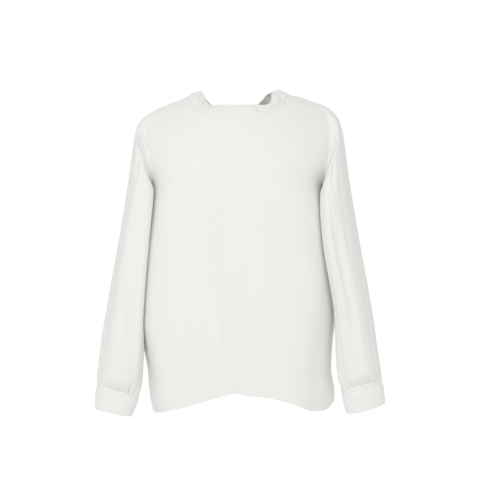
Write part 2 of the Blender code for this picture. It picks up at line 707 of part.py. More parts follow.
def neck_ring(front, back):
    """(points, ways out) of the neck seam, from the nape by the left shoulder and the front, and back."""
    neck = slice(SHOULDER_CELLS, SHOULDER_CELLS + NECK_CELLS + 1)
    nape = NECK_CELLS // 2
    rings = []
    for name in ("points", "out"):
        fore, hind = getattr(front, name)[-1, neck], getattr(back, name)[-1, neck]
        rings.append(np.concatenate((hind[nape:0:-1], fore, hind[-2 : nape - 1 : -1])))
    return rings


def segment_distance(x, y, x0, y0, x1, y1):
    run = ((x - x0) * (x1 - x0) + (y - y0) * (y1 - y0)) / ((x1 - x0) ** 2 + (y1 - y0) ** 2)
    run = np.clip(run, 0, 1)
    return np.hypot(x - x0 - run * (x1 - x0), y - y0 - run * (y1 - y0))


def collar(seam):
    place = np.linspace(0, 1, len(seam))
    rows = column(COLLAR_TOP, "place")
    top = np.stack([smooth(rows, column(COLLAR_TOP, axis), place) for axis in "xyz"], axis=-1)
    seam = seam.copy()
    seam[[0, -1], 0] = -SLIT_GAP / 2, SLIT_GAP / 2
    share = np.linspace(0, 1, COLLAR_ROWS + 1)[:, None]
    points = seam[None] * (1 - share[..., None]) + top[None] * share[..., None]
    cloth = Cloth(points, points - points.mean(axis=(0, 1)))
    heights = smooth(rows, column(COLLAR_TOP, "bow"), place)[None] * 4 * share * (1 - share)
    for fold in COLLAR_FOLDS:
        away = segment_distance(
            place[None] * COLLAR_ROUND,
            share * COLLAR_HEIGHT,
            fold.from_place * COLLAR_ROUND,
            fold.from_share * COLLAR_HEIGHT,
            fold.to_place * COLLAR_ROUND,
            fold.to_share * COLLAR_HEIGHT,
        )
        heights = heights - fold.depth * np.exp(-((away / fold.width) ** 2)) * ease(share / COLLAR_FREE)
    return cloth.raised(heights)


def join_armhole(front, back, arm, side):
    at = 0 if side == LEFT else -1
    _, out = armhole_ring(front, back, side)
    shared = mitre(out[:-1], arm.out[0, ::SLEEVE_PER_ARMHOLE])
    arm.out[0] = spread_round(shared, SLEEVE_PER_ARMHOLE)
    rows = slice(SIDE_CELLS, None)
    front.out[rows, at] = shared[: ARMHOLE_CELLS + 1][::-1]
    back.out[rows, at] = np.concatenate((shared[ARMHOLE_CELLS:], shared[:1]))


def join_neck(front, back, band):
    _, out = neck_ring(front, back)
    shared = mitre(out, band.out[0, ::COLLAR_PER_NECK])
    band.out[0] = spread(shared, COLLAR_PER_NECK)
    neck = slice(SHOULDER_CELLS, SHOULDER_CELLS + NECK_CELLS + 1)
    nape = NECK_CELLS // 2
    front.out[-1, neck] = shared[nape : nape + NECK_CELLS + 1]
    back.out[-1, neck] = np.concatenate((shared[nape::-1], shared[-2 : -nape - 2 : -1]))


def join_sides(front, back):
    """The side seams and the shoulder seams, where the two panels have the same points."""
    for at in (0, -1):
        shared = mitre(front.out[:, at], back.out[:, at])
        front.out[:, at], back.out[:, at] = shared, shared
    for seam in (slice(0, SHOULDER_CELLS + 1), slice(-SHOULDER_CELLS - 1, None)):
        shared = mitre(front.out[-1, seam], back.out[-1, seam])
        front.out[-1, seam], back.out[-1, seam] = shared, shared


def join_cuff(arm, band):
    shared = mitre(band.out[0], arm.out[-1, ::SLEEVE_PER_CUFF])
    arm.out[-1], band.out[0] = spread_round(shared, SLEEVE_PER_CUFF), shared


# Meshes


def material(name, colour, roughness):
    made = bpy.data.materials.new(name)
    made.use_nodes = True
    shader = made.node_tree.nodes["Principled BSDF"]
    shader.inputs["Base Color"].default_value = colour
    shader.inputs["Roughness"].default_value = roughness
    shader.inputs["Metallic"].default_value = 0.0
    return made


def object_from(name, points, faces, finish):
    mesh = bpy.data.meshes.new(name)
    mesh.from_pydata((np.asarray(points) * MM).tolist(), [], faces)
    mesh.materials.append(finish)
    mesh.shade_smooth()
    mesh.set_sharp_from_angle(angle=SHARP_ANGLE)
    made = bpy.data.objects.new(name, mesh)
    bpy.context.scene.collection.objects.link(made)
    return made


def walled(name, cloth, wall, finish, slit_column=None, slit_row=None):
    """A closed wall on both sides of a piece's middle surface. A slit parts its column above its row."""
    rows, columns = cloth.points.shape[:2]
    points = cloth.points.reshape(-1, 3)
    out = cloth.out.reshape(-1, 3)
    index = np.arange(rows * columns).reshape(rows, columns)
    past_slit = index.copy()
    if slit_column is not None:
        lip = index[slit_row:, slit_column]
        past_slit[slit_row:, slit_column] = len(points) + np.arange(len(lip))
        shift = np.array((SLIT_GAP / 2, 0, 0))
        points = np.concatenate((points, points[lip] + shift))
        points[lip] -= shift
        out = np.concatenate((out, out[lip]))
    faces = []
    for i in range(rows - 1):
        for j in range(columns if cloth.closed else columns - 1):
            near = past_slit if slit_column is not None and j >= slit_column else index
            k = (j + 1) % columns
            faces.append((near[i, j], near[i, k], near[i + 1, k], near[i + 1, j]))
    a, b, c = (points[[face[n] for face in faces]] for n in range(3))
    if np.sum(np.cross(b - a, c - a) * out[[face[0] for face in faces]]) < 0:
        faces = [face[::-1] for face in faces]
    inner = len(points)
    edges = {(face[n], face[(n + 1) % 4]) for face in faces for n in range(4)}
    rims = [(b, a, a + inner, b + inner) for a, b in edges if (b, a) not in edges]
    inside = [tuple(p + inner for p in face[::-1]) for face in faces]
    layers = np.concatenate((points + out * wall / 2, points - out * wall / 2))
    solid = [tuple(int(p) for p in face) for face in faces + inside + sorted(rims)]
    return object_from(name, layers, solid, finish)


def tube_faces(rings, sides):
    """Faces of a tube of rings, with its ends filled."""
    faces = [
        (r * sides + s, r * sides + (s + 1) % sides, (r + 1) * sides + (s + 1) % sides, (r + 1) * sides + s)
        for r in range(rings - 1)
        for s in range(sides)
    ]
    ends = range(sides), range((rings - 1) * sides, rings * sides)
    return faces + [tuple(ends[0])[::-1], tuple(ends[1])]


def nape_frame(band):
    """(point, out, up, across) on the collar's outer face, where the button sits."""
    row, at = BUTTON_ROW, band.points.shape[1] - 1 - BUTTON_COLUMN_FROM_END
    out = unit(band.out[row, at])
    up = unit(band.points[row + 1, at] - band.points[row - 1, at])
    up = unit(up - out * np.dot(up, out))
    return band.points[row, at] + out * BAND_WALL / 2, out, up, np.cross(up, out)


def button(frame, finish):
    point, out, up, across = frame
    head = SEAM_GAP + SHANK_LENGTH
    radius = BUTTON_DIAMETER / 2
    profile = [(SHANK_DIAMETER / 2, SEAM_GAP), (SHANK_DIAMETER / 2, head - SEAM_GAP)]
    for share_of_radius, share_of_thickness in BUTTON_PROFILE:
        profile.append((radius * share_of_radius, head + BUTTON_THICKNESS * share_of_thickness))
    points = [
        point + out * height + reach * (math.cos(a) * up + math.sin(a) * across)
        for reach, height in profile
        for a in (2 * math.pi * n / BUTTON_SIDES for n in range(BUTTON_SIDES))
    ]
    return oriented("back_button", points, tube_faces(len(profile), BUTTON_SIDES), finish)


def oriented(name, points, faces, finish):
    """An object whose faces are turned to point out of it."""
    p = np.array(points)
    fans = [(face[0], face[n], face[n + 1]) for face in faces for n in range(1, len(face) - 1)]
    volume = sum(np.dot(p[a], np.cross(p[b], p[c])) for a, b, c in fans)
    if volume < 0:
        faces = [face[::-1] for face in faces]
    return object_from(name, p, faces, finish)


def button_loop(frame, finish):
    """A cord whose legs lie on the collar's left end and whose bight goes round the button's shank."""
    point, out, up, across = frame
    toward_slit = across if across[0] < 0 else -across
    bight = SHANK_DIAMETER / 2 + SEAM_GAP + LOOP_CORD / 2
    level = SEAM_GAP + LOOP_CORD / 2 + LOOP_LIFT
    end = point[0] + SLIT_GAP / 2 + LOOP_LEG
    path = [(end, -LOOP_SPREAD / 2), (end / 2, -bight)]
    for n in range(LOOP_BIGHT_STEPS + 1):
        a = -math.pi / 2 + math.pi * n / LOOP_BIGHT_STEPS
        path.append((-bight * math.cos(a), bight * math.sin(a)))
    path += [(end / 2, bight), (end, LOOP_SPREAD / 2)]
    line = np.array([point + toward_slit * p + up * q + out * level for p, q in path])
    tangents = unit(np.gradient(line, axis=0))
    points = []
    for centre, tangent in zip(line, tangents):
        side = unit(np.cross(tangent, out))
        for n in range(LOOP_SIDES):
            a = 2 * math.pi * n / LOOP_SIDES
            points.append(centre + LOOP_CORD / 2 * (math.cos(a) * side + math.sin(a) * out))
    return oriented("button_loop", points, tube_faces(len(line), LOOP_SIDES), finish)


def build():
    for old in list(bpy.data.objects):
        bpy.data.objects.remove(old, do_unlink=True)
    silk = material("silk", SILK_COLOUR, SILK_ROUGHNESS)
    covered = material("covered_button", BUTTON_COLOUR, BUTTON_ROUGHNESS)
    front, back = body_panel(FRONT), body_panel(BACK)
    join_sides(front, back)
    for side in (LEFT, RIGHT):
        line, _ = armhole_ring(front, back, side)
        arm = sleeve(side, spread(line, SLEEVE_PER_ARMHOLE)[:-1])
        band = cuff(side, arm.points.shape[1] // SLEEVE_PER_CUFF)
        join_armhole(front, back, arm, side)
        join_cuff(arm, band)
        arm.trim("first")
        arm.trim("last")
        band.trim("first")
        walled("sleeve_" + side_name(side), arm, WALL, silk)
        walled("cuff_" + side_name(side), band, BAND_WALL, silk)
    line, _ = neck_ring(front, back)
    neck = collar(spread(line, COLLAR_PER_NECK))
    join_neck(front, back, neck)
    neck.trim("first")
    for panel in (front, back):
        panel.trim("last", (SHOULDER_CELLS, SHOULDER_CELLS + NECK_CELLS))
        panel.trim("left", (SIDE_CELLS,))
        panel.trim("right", (SIDE_CELLS,))
    walled("front", front, WALL, silk)
    rows, columns = back.points.shape[:2]
    walled("back", back, WALL, silk, columns // 2, rows - 1 - SLIT_CELLS)
    walled("collar", neck, BAND_WALL, silk)
    frame = nape_frame(neck)
    button(frame, covered)
    button_loop(frame, silk)


build()
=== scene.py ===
"""Sews a plain silk blouse over its solid model: thin cloth with seams, gathers, folds and a crepe grain.

The tables hold millimetres and the scene holds metres. The front faces -Y and +Z is up. The origin is in
the middle of the neck opening, level with the tops of the shoulders. Left and right are as seen by someone
who looks at the front.
"""

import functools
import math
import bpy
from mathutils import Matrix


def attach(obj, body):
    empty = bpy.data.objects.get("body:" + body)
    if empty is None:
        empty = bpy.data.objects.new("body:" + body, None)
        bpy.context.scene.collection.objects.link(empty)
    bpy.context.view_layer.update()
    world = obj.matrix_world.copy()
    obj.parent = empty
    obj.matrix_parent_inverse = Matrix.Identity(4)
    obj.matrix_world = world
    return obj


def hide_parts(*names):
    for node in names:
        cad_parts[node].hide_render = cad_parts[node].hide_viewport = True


bl_info = {
    "name": "Silk blouse",
    "version": (1, 0, 0),
    "blender": (4, 5, 0),
    "location": "View3D > Sidebar > Blouse",
    "description": "Sews a plain crepe silk blouse over its solid model",
    "category": "Add Mesh",
}

from collections import namedtuple

import bpy
import numpy as np
from bpy.props import FloatProperty, FloatVectorProperty, PointerProperty

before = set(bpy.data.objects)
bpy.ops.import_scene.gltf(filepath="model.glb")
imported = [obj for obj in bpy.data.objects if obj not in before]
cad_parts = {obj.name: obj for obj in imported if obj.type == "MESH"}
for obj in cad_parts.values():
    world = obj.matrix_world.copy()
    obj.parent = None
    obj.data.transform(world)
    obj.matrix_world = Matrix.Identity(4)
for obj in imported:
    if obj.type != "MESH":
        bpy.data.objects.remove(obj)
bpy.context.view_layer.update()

MM = 0.001
LEFT, RIGHT = -1, 1
FRONT, BACK = -1, 1
SIDE = {LEFT: "left", RIGHT: "right"}
FACE = {FRONT: "front", BACK: "back"}
EDGE = {LEFT: 0, RIGHT: -1}  # a panel's column at each side

# Cells of each piece's grid
SHOULDER_CELLS = 20
NECK_CELLS = 120
SIDE_CELLS = 136
ARMHOLE_CELLS = 70
SLEEVE_PER_ARMHOLE = 2
SLEEVE_ROWS = 156
CUFF_LEVELS = 44
COLLAR_PER_NECK = 2
COLLAR_LEVELS = 26
FINEST_CELL = 0.22  # the cell beside a seam, as a share of the others
CELL_GROWTH = 1.45
LINE_SAMPLES = 961  # points of a smooth line before it is cut into cells
SETTLING_ROUNDS = 30

UNDERARM_Z = -185
SIDE_HEM_Z = -635


def rows(columns, *values):
    """A table whose columns have names."""
    return np.array(list(values), [(name, float) for name in columns.split()]).view(np.recarray)


# Torso: half widths from x = 0, and depths in front of and behind the side seam. power is how square a
# section's corners are: 2 is an ellipse.
TORSO = rows(
    "z left right front back side_y power",
    (-680, 176, 188, 133, 85, 25, 4.6),
    (-645, 177, 189, 134, 85, 25, 4.8),
    (-605, 184.5, 193.5, 134, 84, 25, 5.2),
    (-556, 188.5, 188, 134, 82, 25, 5.4),
    (-507, 199, 190.5, 133, 79, 25, 5.6),
    (-460, 211, 196, 132, 76, 25, 5.6),
    (-425, 212, 199, 131, 73, 25, 5.6),
    (-354, 209, 197, 130, 71, 25, 5.6),
    (-292, 204, 190, 129, 74, 24, 5.6),
    (-221, 190, 177, 125, 84, 17, 5.4),
    (UNDERARM_Z, 182, 169, 122, 91, 12, 5),
    (-172, 184, 172, 122, 93, 11, 4.8),
    (-150, 191, 183, 123, 94, 9, 4.4),
    (-120, 203, 198, 123, 97, 6, 3.6),
    (-60, 214, 212, 124, 97, 4, 2.8),
    (40, 214, 212, 122, 96, 2, 2.6),
)
SHOULDER_ROUND = {FRONT: 220, BACK: 200}  # how far below the shoulder line the full depth is reached
SHOULDER_SHARE = 3 / 22  # of a panel's width, where each shoulder seam ends
SIDE_SHARE = 11 / 21  # of its height, where the side seam ends
SLIT_FOOT = 17 / 21  # of its height, where the back's slit starts
INSIDE_BLEND = 0.25  # share of its width, inside the shoulder seams, over which its rows become level

SHOULDER = rows(
    "x left_z right_z",
    (0, 21, 21), (60, 13, 15), (100, 2, 4), (125, -8.5, -2),
    (150, -18, -10.5), (178, -30, -19), (230, -60, -45),
)
SHOULDER_BLEND = 40  # how far from the middle one shoulder's line has become the other's

ARMHOLE = rows(
    "down left_x left_z right_x right_z",
    (0, 150, -18, 146, -9), (0.1, 166, -31, 159, -28), (0.22, 179, -50, 171, -48),
    (0.4, 186, -81, 175, -82), (0.6, 180, -116, 173, -120), (0.8, 174, -153, 166.5, -156),
    (0.92, 176, -176, 165, -176), (1, 182, UNDERARM_Z, 169, UNDERARM_Z),
)

NECK_POINT_X = {LEFT: -103, RIGHT: 100}
NECKLINES = {
    FRONT: rows(
        "x z",
        (-95.8, -21.9), (-79.3, -38.9), (-63, -46.5), (-46.9, -50.8), (-22.9, -56.4),
        (-3.8, -58.2), (20.2, -54.8), (48.9, -46.7), (68.4, -35.7), (83.7, -22.3),
    ),
    BACK: rows(
        "x z",
        (-88, -15), (-62, -28), (-32, -36.5), (0, -39), (32, -36.5), (62, -26), (86, -12),
    ),
}

HEM = rows(
    "x front_z back_z",
    (-190, -641, -641), (-176, -641, -641), (-140, -632, -636), (-98, -621, -629), (-52, -607, -620),
    (-22, -598, -616), (-10, -596, -615), (11, -600, -614), (68, -607, -617), (115, -621, -624),
    (151, -634, -631), (177, -633, -630), (189, -625, -625), (200, -625, -625),
)

# Lengthwise folds of the body: turn runs from -1 at the left side seam to 1 at the right one. A ridge
# has a height above 0, and a trough has one below it. The two widths are those of its left and right sides.
body_folds = functools.partial(
    rows, "top_turn top_z low_turn low_z bend left_width right_width top_height low_height"
)
BODY_FOLDS = {
    FRONT: body_folds(
        (-0.285, -88, -0.052, -640, 0.03, 26, 13, 0.8, 6), (0.78, -230, 0.58, -660, 0, 24, 28, -1, -6),
        (-0.72, -240, -0.62, -660, 0, 24, 24, 0.5, 4), (0.3, -360, 0.24, -660, 0, 30, 30, 0, 3),
    ),
    BACK: body_folds(
        (0.86, -430, 0.85, -650, 0, 20, 20, 0, 10), (0.18, -200, 0.08, -660, -0.02, 22, 16, 0.8, 6),
        (-0.45, -260, -0.52, -660, 0, 24, 24, -1, -6), (0.52, -300, 0.56, -660, 0, 24, 22, -1, -6),
    ),
}
GIRTH_PER_TURN = 240
FOLD_EDGE = 0.06  # folds fade out over this share of a panel at its seams
FOLD_START = 0.12  # and they rise over this share of their own length

# Finer creases of the body, by x and z: a ridge where the height is above 0, a trough where it is below
creases = functools.partial(rows, "top_x top_z low_x low_z bend width height")
CREASES = {
    FRONT: creases(
        (-78, -96, -62, -190, 4, 7, 0.7), (-95, -84, -22, -616, 2, 8, 0.9),
        (-84, -84, -9, -616, 2, 4, -1.5), (-36, -330, -10, -616, 3, 3, -0.8),
        (-150, -200, -168, -560, 5, 12, -0.9), (-118, -240, -128, -600, -4, 16, 0.7),
        (60, -210, 44, -470, 4, 18, 0.6), (112, -260, 96, -610, -4, 20, 0.8),
        (24, -300, 22, -590, 3, 16, -0.6), (-92, -72, -140, -60, 3, 8, 0.5),
        (88, -60, 138, -52, 3, 9, 0.5), (-90, -88, -132, -150, -5, 10, -0.5),
        (84, -84, 128, -160, 5, 11, -0.5),
    ),
    BACK: creases(
        (-64, -150, -36, -560, 6, 8, 1), (40, -190, 20, -600, -5, 9, -0.9),
        (-120, -230, -140, -600, 4, 14, 0.8), (118, -220, 136, -600, -4, 14, -0.8),
        (-80, -60, -136, -96, 4, 10, 0.6), (82, -60, 134, -92, -4, 10, 0.6),
        (-14, -170, -60, -250, 4, 12, -0.5), (16, -160, 70, -240, 4, 12, -0.5),
    ),
}
CREASE_FADE = 0.3  # share of a crease over which it starts, and over which it dies

# Sleeve rings from the armhole to the cuff: how far each reaches in front of and behind y = 0, how far its
# inner line lies further forward than its outer one (lean), and how much of the armhole's own curve is left
# in it (seam_pull)
SLEEVE_DEPTHS = (
    (51, 53, 0, 0.92), (54, 55, 8, 0.76), (56, 57, 22, 0.54), (60, 57, 33, 0.32),
    (65, 56, 39, 0.14), (68, 53, 44, 0.05), (72, 49, 46, 0), (74, 45, 46, 0),
    (77, 38, 42, 0), (83, 22, 28, 0), (88, 15, 12, 0), (89, 13, 6, 0),
    (87, 9, 2, 0), (80, 1, 0, 0), (69, -11, 0, 0),
)
# The x and z of the same rings' outer lines and of their inner ones, on each side
SLEEVE_LINES = {
    LEFT: (
        (163, -22.5, 187, -186.5), (178, -31, 186, -190),
        (192, -40, 180, -195.5), (203.5, -52, 173.5, -204),
        (211.5, -76, 172, -216), (217.5, -112, 172.8, -233),
        (223, -152, 174.8, -256), (231, -208, 178.3, -286),
        (241, -269, 181.8, -326), (265.5, -413, 190.3, -446),
        (281.5, -517, 193.8, -542), (285, -547, 196, -569),
        (287, -564, 198.5, -586), (287.5, -574, 201, -597),
        (286.7, -582.6, 203.6, -605),
    ),
    RIGHT: (
        (159.5, -13, 174, -187), (175.5, -19, 173, -190.5),
        (189.5, -29, 167, -196), (200.5, -43, 160.5, -204),
        (208.5, -68, 158.4, -217), (214.5, -103, 158.2, -234),
        (219.5, -146, 159.8, -257), (228.5, -208, 162.8, -288),
        (239.5, -274, 168.8, -327), (264.5, -413, 190, -440),
        (279, -512, 195.5, -532), (283, -540, 198, -558),
        (285.5, -557, 201, -575), (286.3, -565, 203.8, -584),
        (286.1, -572.4, 206, -590.5),
    ),
}
SLEEVE_RINGS = {side: np.hstack((lines, SLEEVE_DEPTHS)) for side, lines in SLEEVE_LINES.items()}
SLEEVE_GIRTH = 320
BESIDE_TORSO = 6.5  # least room between the sleeve and the body below the underarm
BESIDE_ROUND = 3.0  # how softly the sleeve bends round the body
BESIDE_DROP = 7.0  # depth below the underarm over which it comes to lie so
BESIDE_RISE = 14  # and how much higher than that it starts to, away from the armhole
BESIDE_RINGS = 3  # rings over which it starts higher

# Lengthwise folds of a sleeve, by degrees round it: 0 is at its outer line, 90 in front and 180 at its inner
# line
sleeve_folds = functools.partial(rows, "top_angle top_z low_angle low_z width height")
SLEEVE_FOLDS = {
    LEFT: sleeve_folds(
        (69, -62, 64, -180, 7, -4), (100, -120, 108, -560, 13, -5),
        (66, -150, 72, -600, 15, 3.5), (140, -120, 138, -600, 12, 3.5),
        (250, -140, 262, -590, 14, -5), (292, -200, 300, -600, 15, 3),
    ),
    RIGHT: sleeve_folds(
        (76, -64, 96, -200, 7, -5), (100, -230, 96, -590, 13, -5),
        (119, -170, 118, -480, 12, 3.5), (160, -420, 138, -610, 8, -8),
        (262, -140, 250, -590, 14, -5), (300, -200, 292, -600, 15, 3),
    ),
}
SLEEVE_FOLD_FADE = 0.18  # share of a fold's length over which it rises and dies
FREE_OF_HEAD, FREE_OF_CUFF = 3, 2  # rings over which folds rise from the armhole and die at the cuff

# The same for finer creases, which only the cloth has
SLEEVE_CREASES = {
    LEFT: sleeve_folds(
        (82, -90, 80, -330, 5, -1.2), (54, -160, 50, -420, 7, -1.2), (118, -260, 124, -590, 5, -1.6),
        (88, -330, 84, -600, 6, 1.2), (40, -300, 36, -590, 8, -1.2), (154, -300, 158, -590, 6, -1.4),
        (224, -180, 230, -560, 8, 1.4), (276, -150, 282, -480, 7, -1.4), (318, -240, 322, -590, 8, -1.4),
    ),
    RIGHT: sleeve_folds(
        (62, -110, 74, -330, 5, -1.4), (108, -150, 104, -420, 5, -1.3), (84, -260, 78, -560, 6, 1.2),
        (50, -320, 44, -590, 8, -1.3), (128, -330, 124, -590, 5, -1.6), (150, -230, 150, -430, 6, -1.2),
        (230, -180, 224, -560, 8, 1.4), (284, -150, 278, -480, 7, -1.4), (324, -240, 318, -590, 8, -1.4),
    ),
}

# Gathers drawn up at a seam: their angle there, how far they run, and how their angle drifts on the way
gathers = functools.partial(rows, "angle length width depth drift")
HEAD_GATHERS = {
    LEFT: gathers(
        (10, 44, 3.4, 0.7, 3), (24, 36, 3.2, 0.8, -3), (36, 50, 3.4, 0.9, -6), (46, 40, 3.2, 0.8, -10),
    ),
    RIGHT: gathers(
        (14, 40, 3.2, 0.7, -3), (29, 46, 3.4, 0.8, -5), (42, 38, 3.2, 0.9, -8),
    ),
}
# Creases that the gathered head lets fall down the sleeve, before it and behind it
HEAD_CREASES = {
    LEFT: {
        FRONT: creases(
            (-184, -62, -206, -136, 2, 2.6, -1.9), (-189, -60, -212, -140, 2, 3.2, 1),
            (-181, -88, -190, -124, 0, 2.2, -1.5), (-196, -50, -222, -150, 3, 3.6, -1.1),
            (-205, -48, -232, -190, 4, 4.6, -0.9),
        ),
        BACK: creases(
            (-185, -56, -204, -130, 2, 2.8, -1.6), (-194, -52, -216, -150, 3, 3.4, -1.2),
            (-182, -84, -192, -134, 0, 2.4, -1.3),
        ),
    },
    RIGHT: {
        FRONT: creases(
            (172, -70, 187, -150, -2, 2.6, -2.2), (177, -68, 193, -150, -2, 3.2, 1.1),
            (184, -60, 203, -146, 2, 3, -1.2), (192, -52, 214, -170, 3, 4, -1),
        ),
        BACK: creases(
            (178, -60, 196, -140, -2, 2.8, -1.6), (188, -50, 208, -160, 2, 3.6, -1.2),
            (172, -86, 184, -136, 0, 2.4, -1.2),
        ),
    },
}
CUFF_GATHERS = {
    LEFT: gathers(
        (157, 46, 2.6, 5, 14), (141, 28, 2.4, 4.6, 12), (124, 40, 2.6, 6.4, 9),
        (108, 16, 2.2, 2.6, -4), (97, 28, 2.4, 3.2, 5), (84, 18, 2.2, 2.4, 3),
        (70, 26, 2.4, 3.2, 8), (55, 16, 2.2, 2.4, 4), (38, 24, 2.4, 2.8, -3),
    ),
    RIGHT: gathers(
        (150, 90, 3, 5.6, 14), (126, 44, 2.8, 6.4, 14), (112, 16, 2.2, 2.8, -6),
        (99, 24, 2.4, 3.4, 6), (84, 20, 2.4, 3, -4), (70, 28, 2.4, 3.2, -6),
        (55, 18, 2.2, 2.4, -4), (38, 22, 2.4, 2.6, 3),
    ),
}
# Uneven gathers behind, between two angles, with the least and greatest of their sizes
Hidden = namedtuple("Hidden", "count span length width depth")
HIDDEN_HEAD = Hidden(12, (212, 318), (30, 66), (3.0, 4.4), (0.4, 0.9))
HIDDEN_CUFF = Hidden(16, (176, 350), (14, 36), (2.4, 3.4), (1.2, 2.6))
HIDDEN_SHIFT, HIDDEN_DRIFT = 0.35, 8  # how far a gather lies off its even place, and how far it drifts
GATHER_RISE = 2.5  # how soon a gather reaches its depth beside the seam
GATHER_SPREAD = 0.8  # how much wider it is at its end
GATHER_DYING = 1.4  # how soon it grows shallow on the way
GATHER_RIDGE = 0.45  # height of the ridges beside a gather, as a share of its depth
RIDGE_PLACE = 1.8  # how many widths they lie from its middle

# Cuffs: the same lines at the bottom edge. front_drop is how far the front of it hangs below its middle.
Cuff = namedtuple("Cuff", "outer_x outer_z inner_x inner_z front back front_drop")
CUFF_EDGES = {
    LEFT: Cuff(292.0, -632.0, 217.5, -648.0, 68, -14, 0),
    RIGHT: Cuff(294.0, -620.0, 215.3, -641.0, 68, -14, 4),
}
CUFF_HEIGHT = 52
CUFF_ROWS = rows(
    "below relief",
    (0, 0), (1.8, 0.4), (4.8, 0.9), (7.2, 0.6), (8.8, -0.5), (10.6, 0.35), (32, 0.6), (49, 0.2), (52, 0),
)
CUFF_STITCHES_BELOW = 8.8
# The uneven ridge that the gathers push up, and the two soft swells that wind round the cuff
RIDGE_BELOW, RIDGE_WIDTH, RIDGE_HEIGHT, RIDGE_AWAY = 4.5, 3.2, 0.4, 8.0
SWELL_HEIGHT, SWELL_RUN, SWELL_START = 0.35, 140, 30

# Collar: the top edge, by its place round the neck from one end at the nape (0) by the left shoulder (0.25),
# the front (0.5) and the right shoulder (0.75) to the other end (1). bow is how far its middle swells out.
COLLAR_TOP = rows(
    "place x y z bow",
    (0, -0.5, 52, -15, 2), (0.08, -30, 50, -15, 2), (0.16, -58, 36, -14, 2.5),
    (0.21, -71, 20, 0, 3), (0.245, -77, 4, 11, 3.5), (0.29, -75, -14, 7, 3.5),
    (0.33, -68, -32, -5, 3), (0.37, -60, -47, -19.5, 3), (0.42, -40, -60, -21, 3.5),
    (0.5, 0, -68, -21.4, 3.5), (0.58, 35, -63, -21, 3.5), (0.64, 53, -54, -20.5, 3),
    (0.675, 61, -46, -16, 3), (0.7, 65, -37, -5.5, 3), (0.72, 64.5, -27, 2, 3),
    (0.75, 73.5, -8, 13, 3.5), (0.78, 77, 8, 15.2, 3.5), (0.82, 67.5, 22, 11.5, 3),
    (0.86, 56, 35, 7, 2.5), (0.895, 47, 42, -2, 2), (0.915, 41, 46, -9, 2),
    (0.95, 26, 50, -16, 2), (1, 0.5, 52, -15, 2),
)
COLLAR_ROUND = 545
COLLAR_HEIGHT = 36
COLLAR_FREE = 0.3  # share of its height over which its folds rise from the seam
CREASE_FREE = 0.12  # and its creases
collar_folds = functools.partial(rows, "from_place from_share to_place to_share width depth")
COLLAR_FOLDS = collar_folds(
    (0.335, 1, 0.405, 0.15, 7, 6), (0.575, 0.62, 0.705, 0.35, 6, 5.5), (0.12, 0.9, 0.16, 0.25, 8, 3),
    (0.86, 0.25, 0.89, 0.9, 8, 3),
)
COLLAR_CREASES = collar_folds(
    (0.305, 0.9, 0.35, 0.32, 4.5, 2.6), (0.345, 0.24, 0.432, 0.13, 2.6, 2.8),
    (0.455, 0.55, 0.54, 0.5, 5, 0.6), (0.44, 0.8, 0.5, 0.74, 4, 0.5), (0.57, 0.5, 0.705, 0.36, 2.6, 3),
    (0.6, 0.24, 0.66, 0.18, 3, 0.8), (0.74, 0.8, 0.765, 0.3, 5, 1.2), (0.04, 0.6, 0.1, 0.52, 5, 0.8),
    (0.2, 0.75, 0.23, 0.3, 5, 1), (0.92, 0.7, 0.96, 0.3, 5, 0.9),
)
SLIT_GAP = 1.0
MITRE_LIMIT = 0.55  # cloth meeting at a seam leans at most this far, as the cosine of half its turn

# Seams and edges
ROLL_WIDTH = 2.2  # the cloth rises beside a seam over this width
TOP_ROLL, COLLAR_ROLL = 2, 3  # how much more it rises at a panel's top edge and at the collar's seam
RIPPLE_FADE = 9.0  # free ripples start this far from a seam
BODY_PUCKER, HEAD_PUCKER = 0.5, 0.4  # puckers of the body's and collar's seams and of the sleeve's head
PUCKER_WAVES, PUCKER_LENGTHS = 3, (0.7, 1.5)  # waves laid over each other, each longer or shorter than even
HEM_TURN = 7.0
HEM_LINE_WIDTH, HEM_SWELL_WIDTH = 0.9, 2.4  # of the sunk stitch line and of the swell below it
SEAM_ALLOWANCE = 6.0
ALLOWANCE_LAYERS = 0.5  # extra thickness inside, where a seam's allowance or a hem's turning lies
ALLOWANCE_STEP, ALLOWANCE_START = 1.2, 1.5  # widths over which it ends, and starts from the seam
BAND_FADE = 3.0  # the doubled collar and cuffs thin down to the seam over this width
STITCH_LENGTH, STITCH_SPACE, STITCH_WIDTH = 2.3, 0.7, 0.26
STITCH_SIDES = 6
STITCH_PROFILE = rows(  # from end to end, as shares of its length and width
    "x height width",
    (-0.5, -0.5, 0.1), (-0.38, 0.2, 0.8), (-0.15, 0.5, 1),
    (0.15, 0.5, 1), (0.38, 0.2, 0.8), (0.5, -0.5, 0.1),
)
CUFF_SECOND_LINE = 1.5  # how far below the cuff's turned line its stitches show

# Long shallow ripples: their lengths round the body or sleeve and down it, and how they swell on the way
RIPPLE_ROUND = (46, 110)
RIPPLE_DOWN = (260, 700)
RIPPLE_COUNT = 7
RIPPLE_SWELL, SWELL_LENGTHS = 0.6, (180, 420)

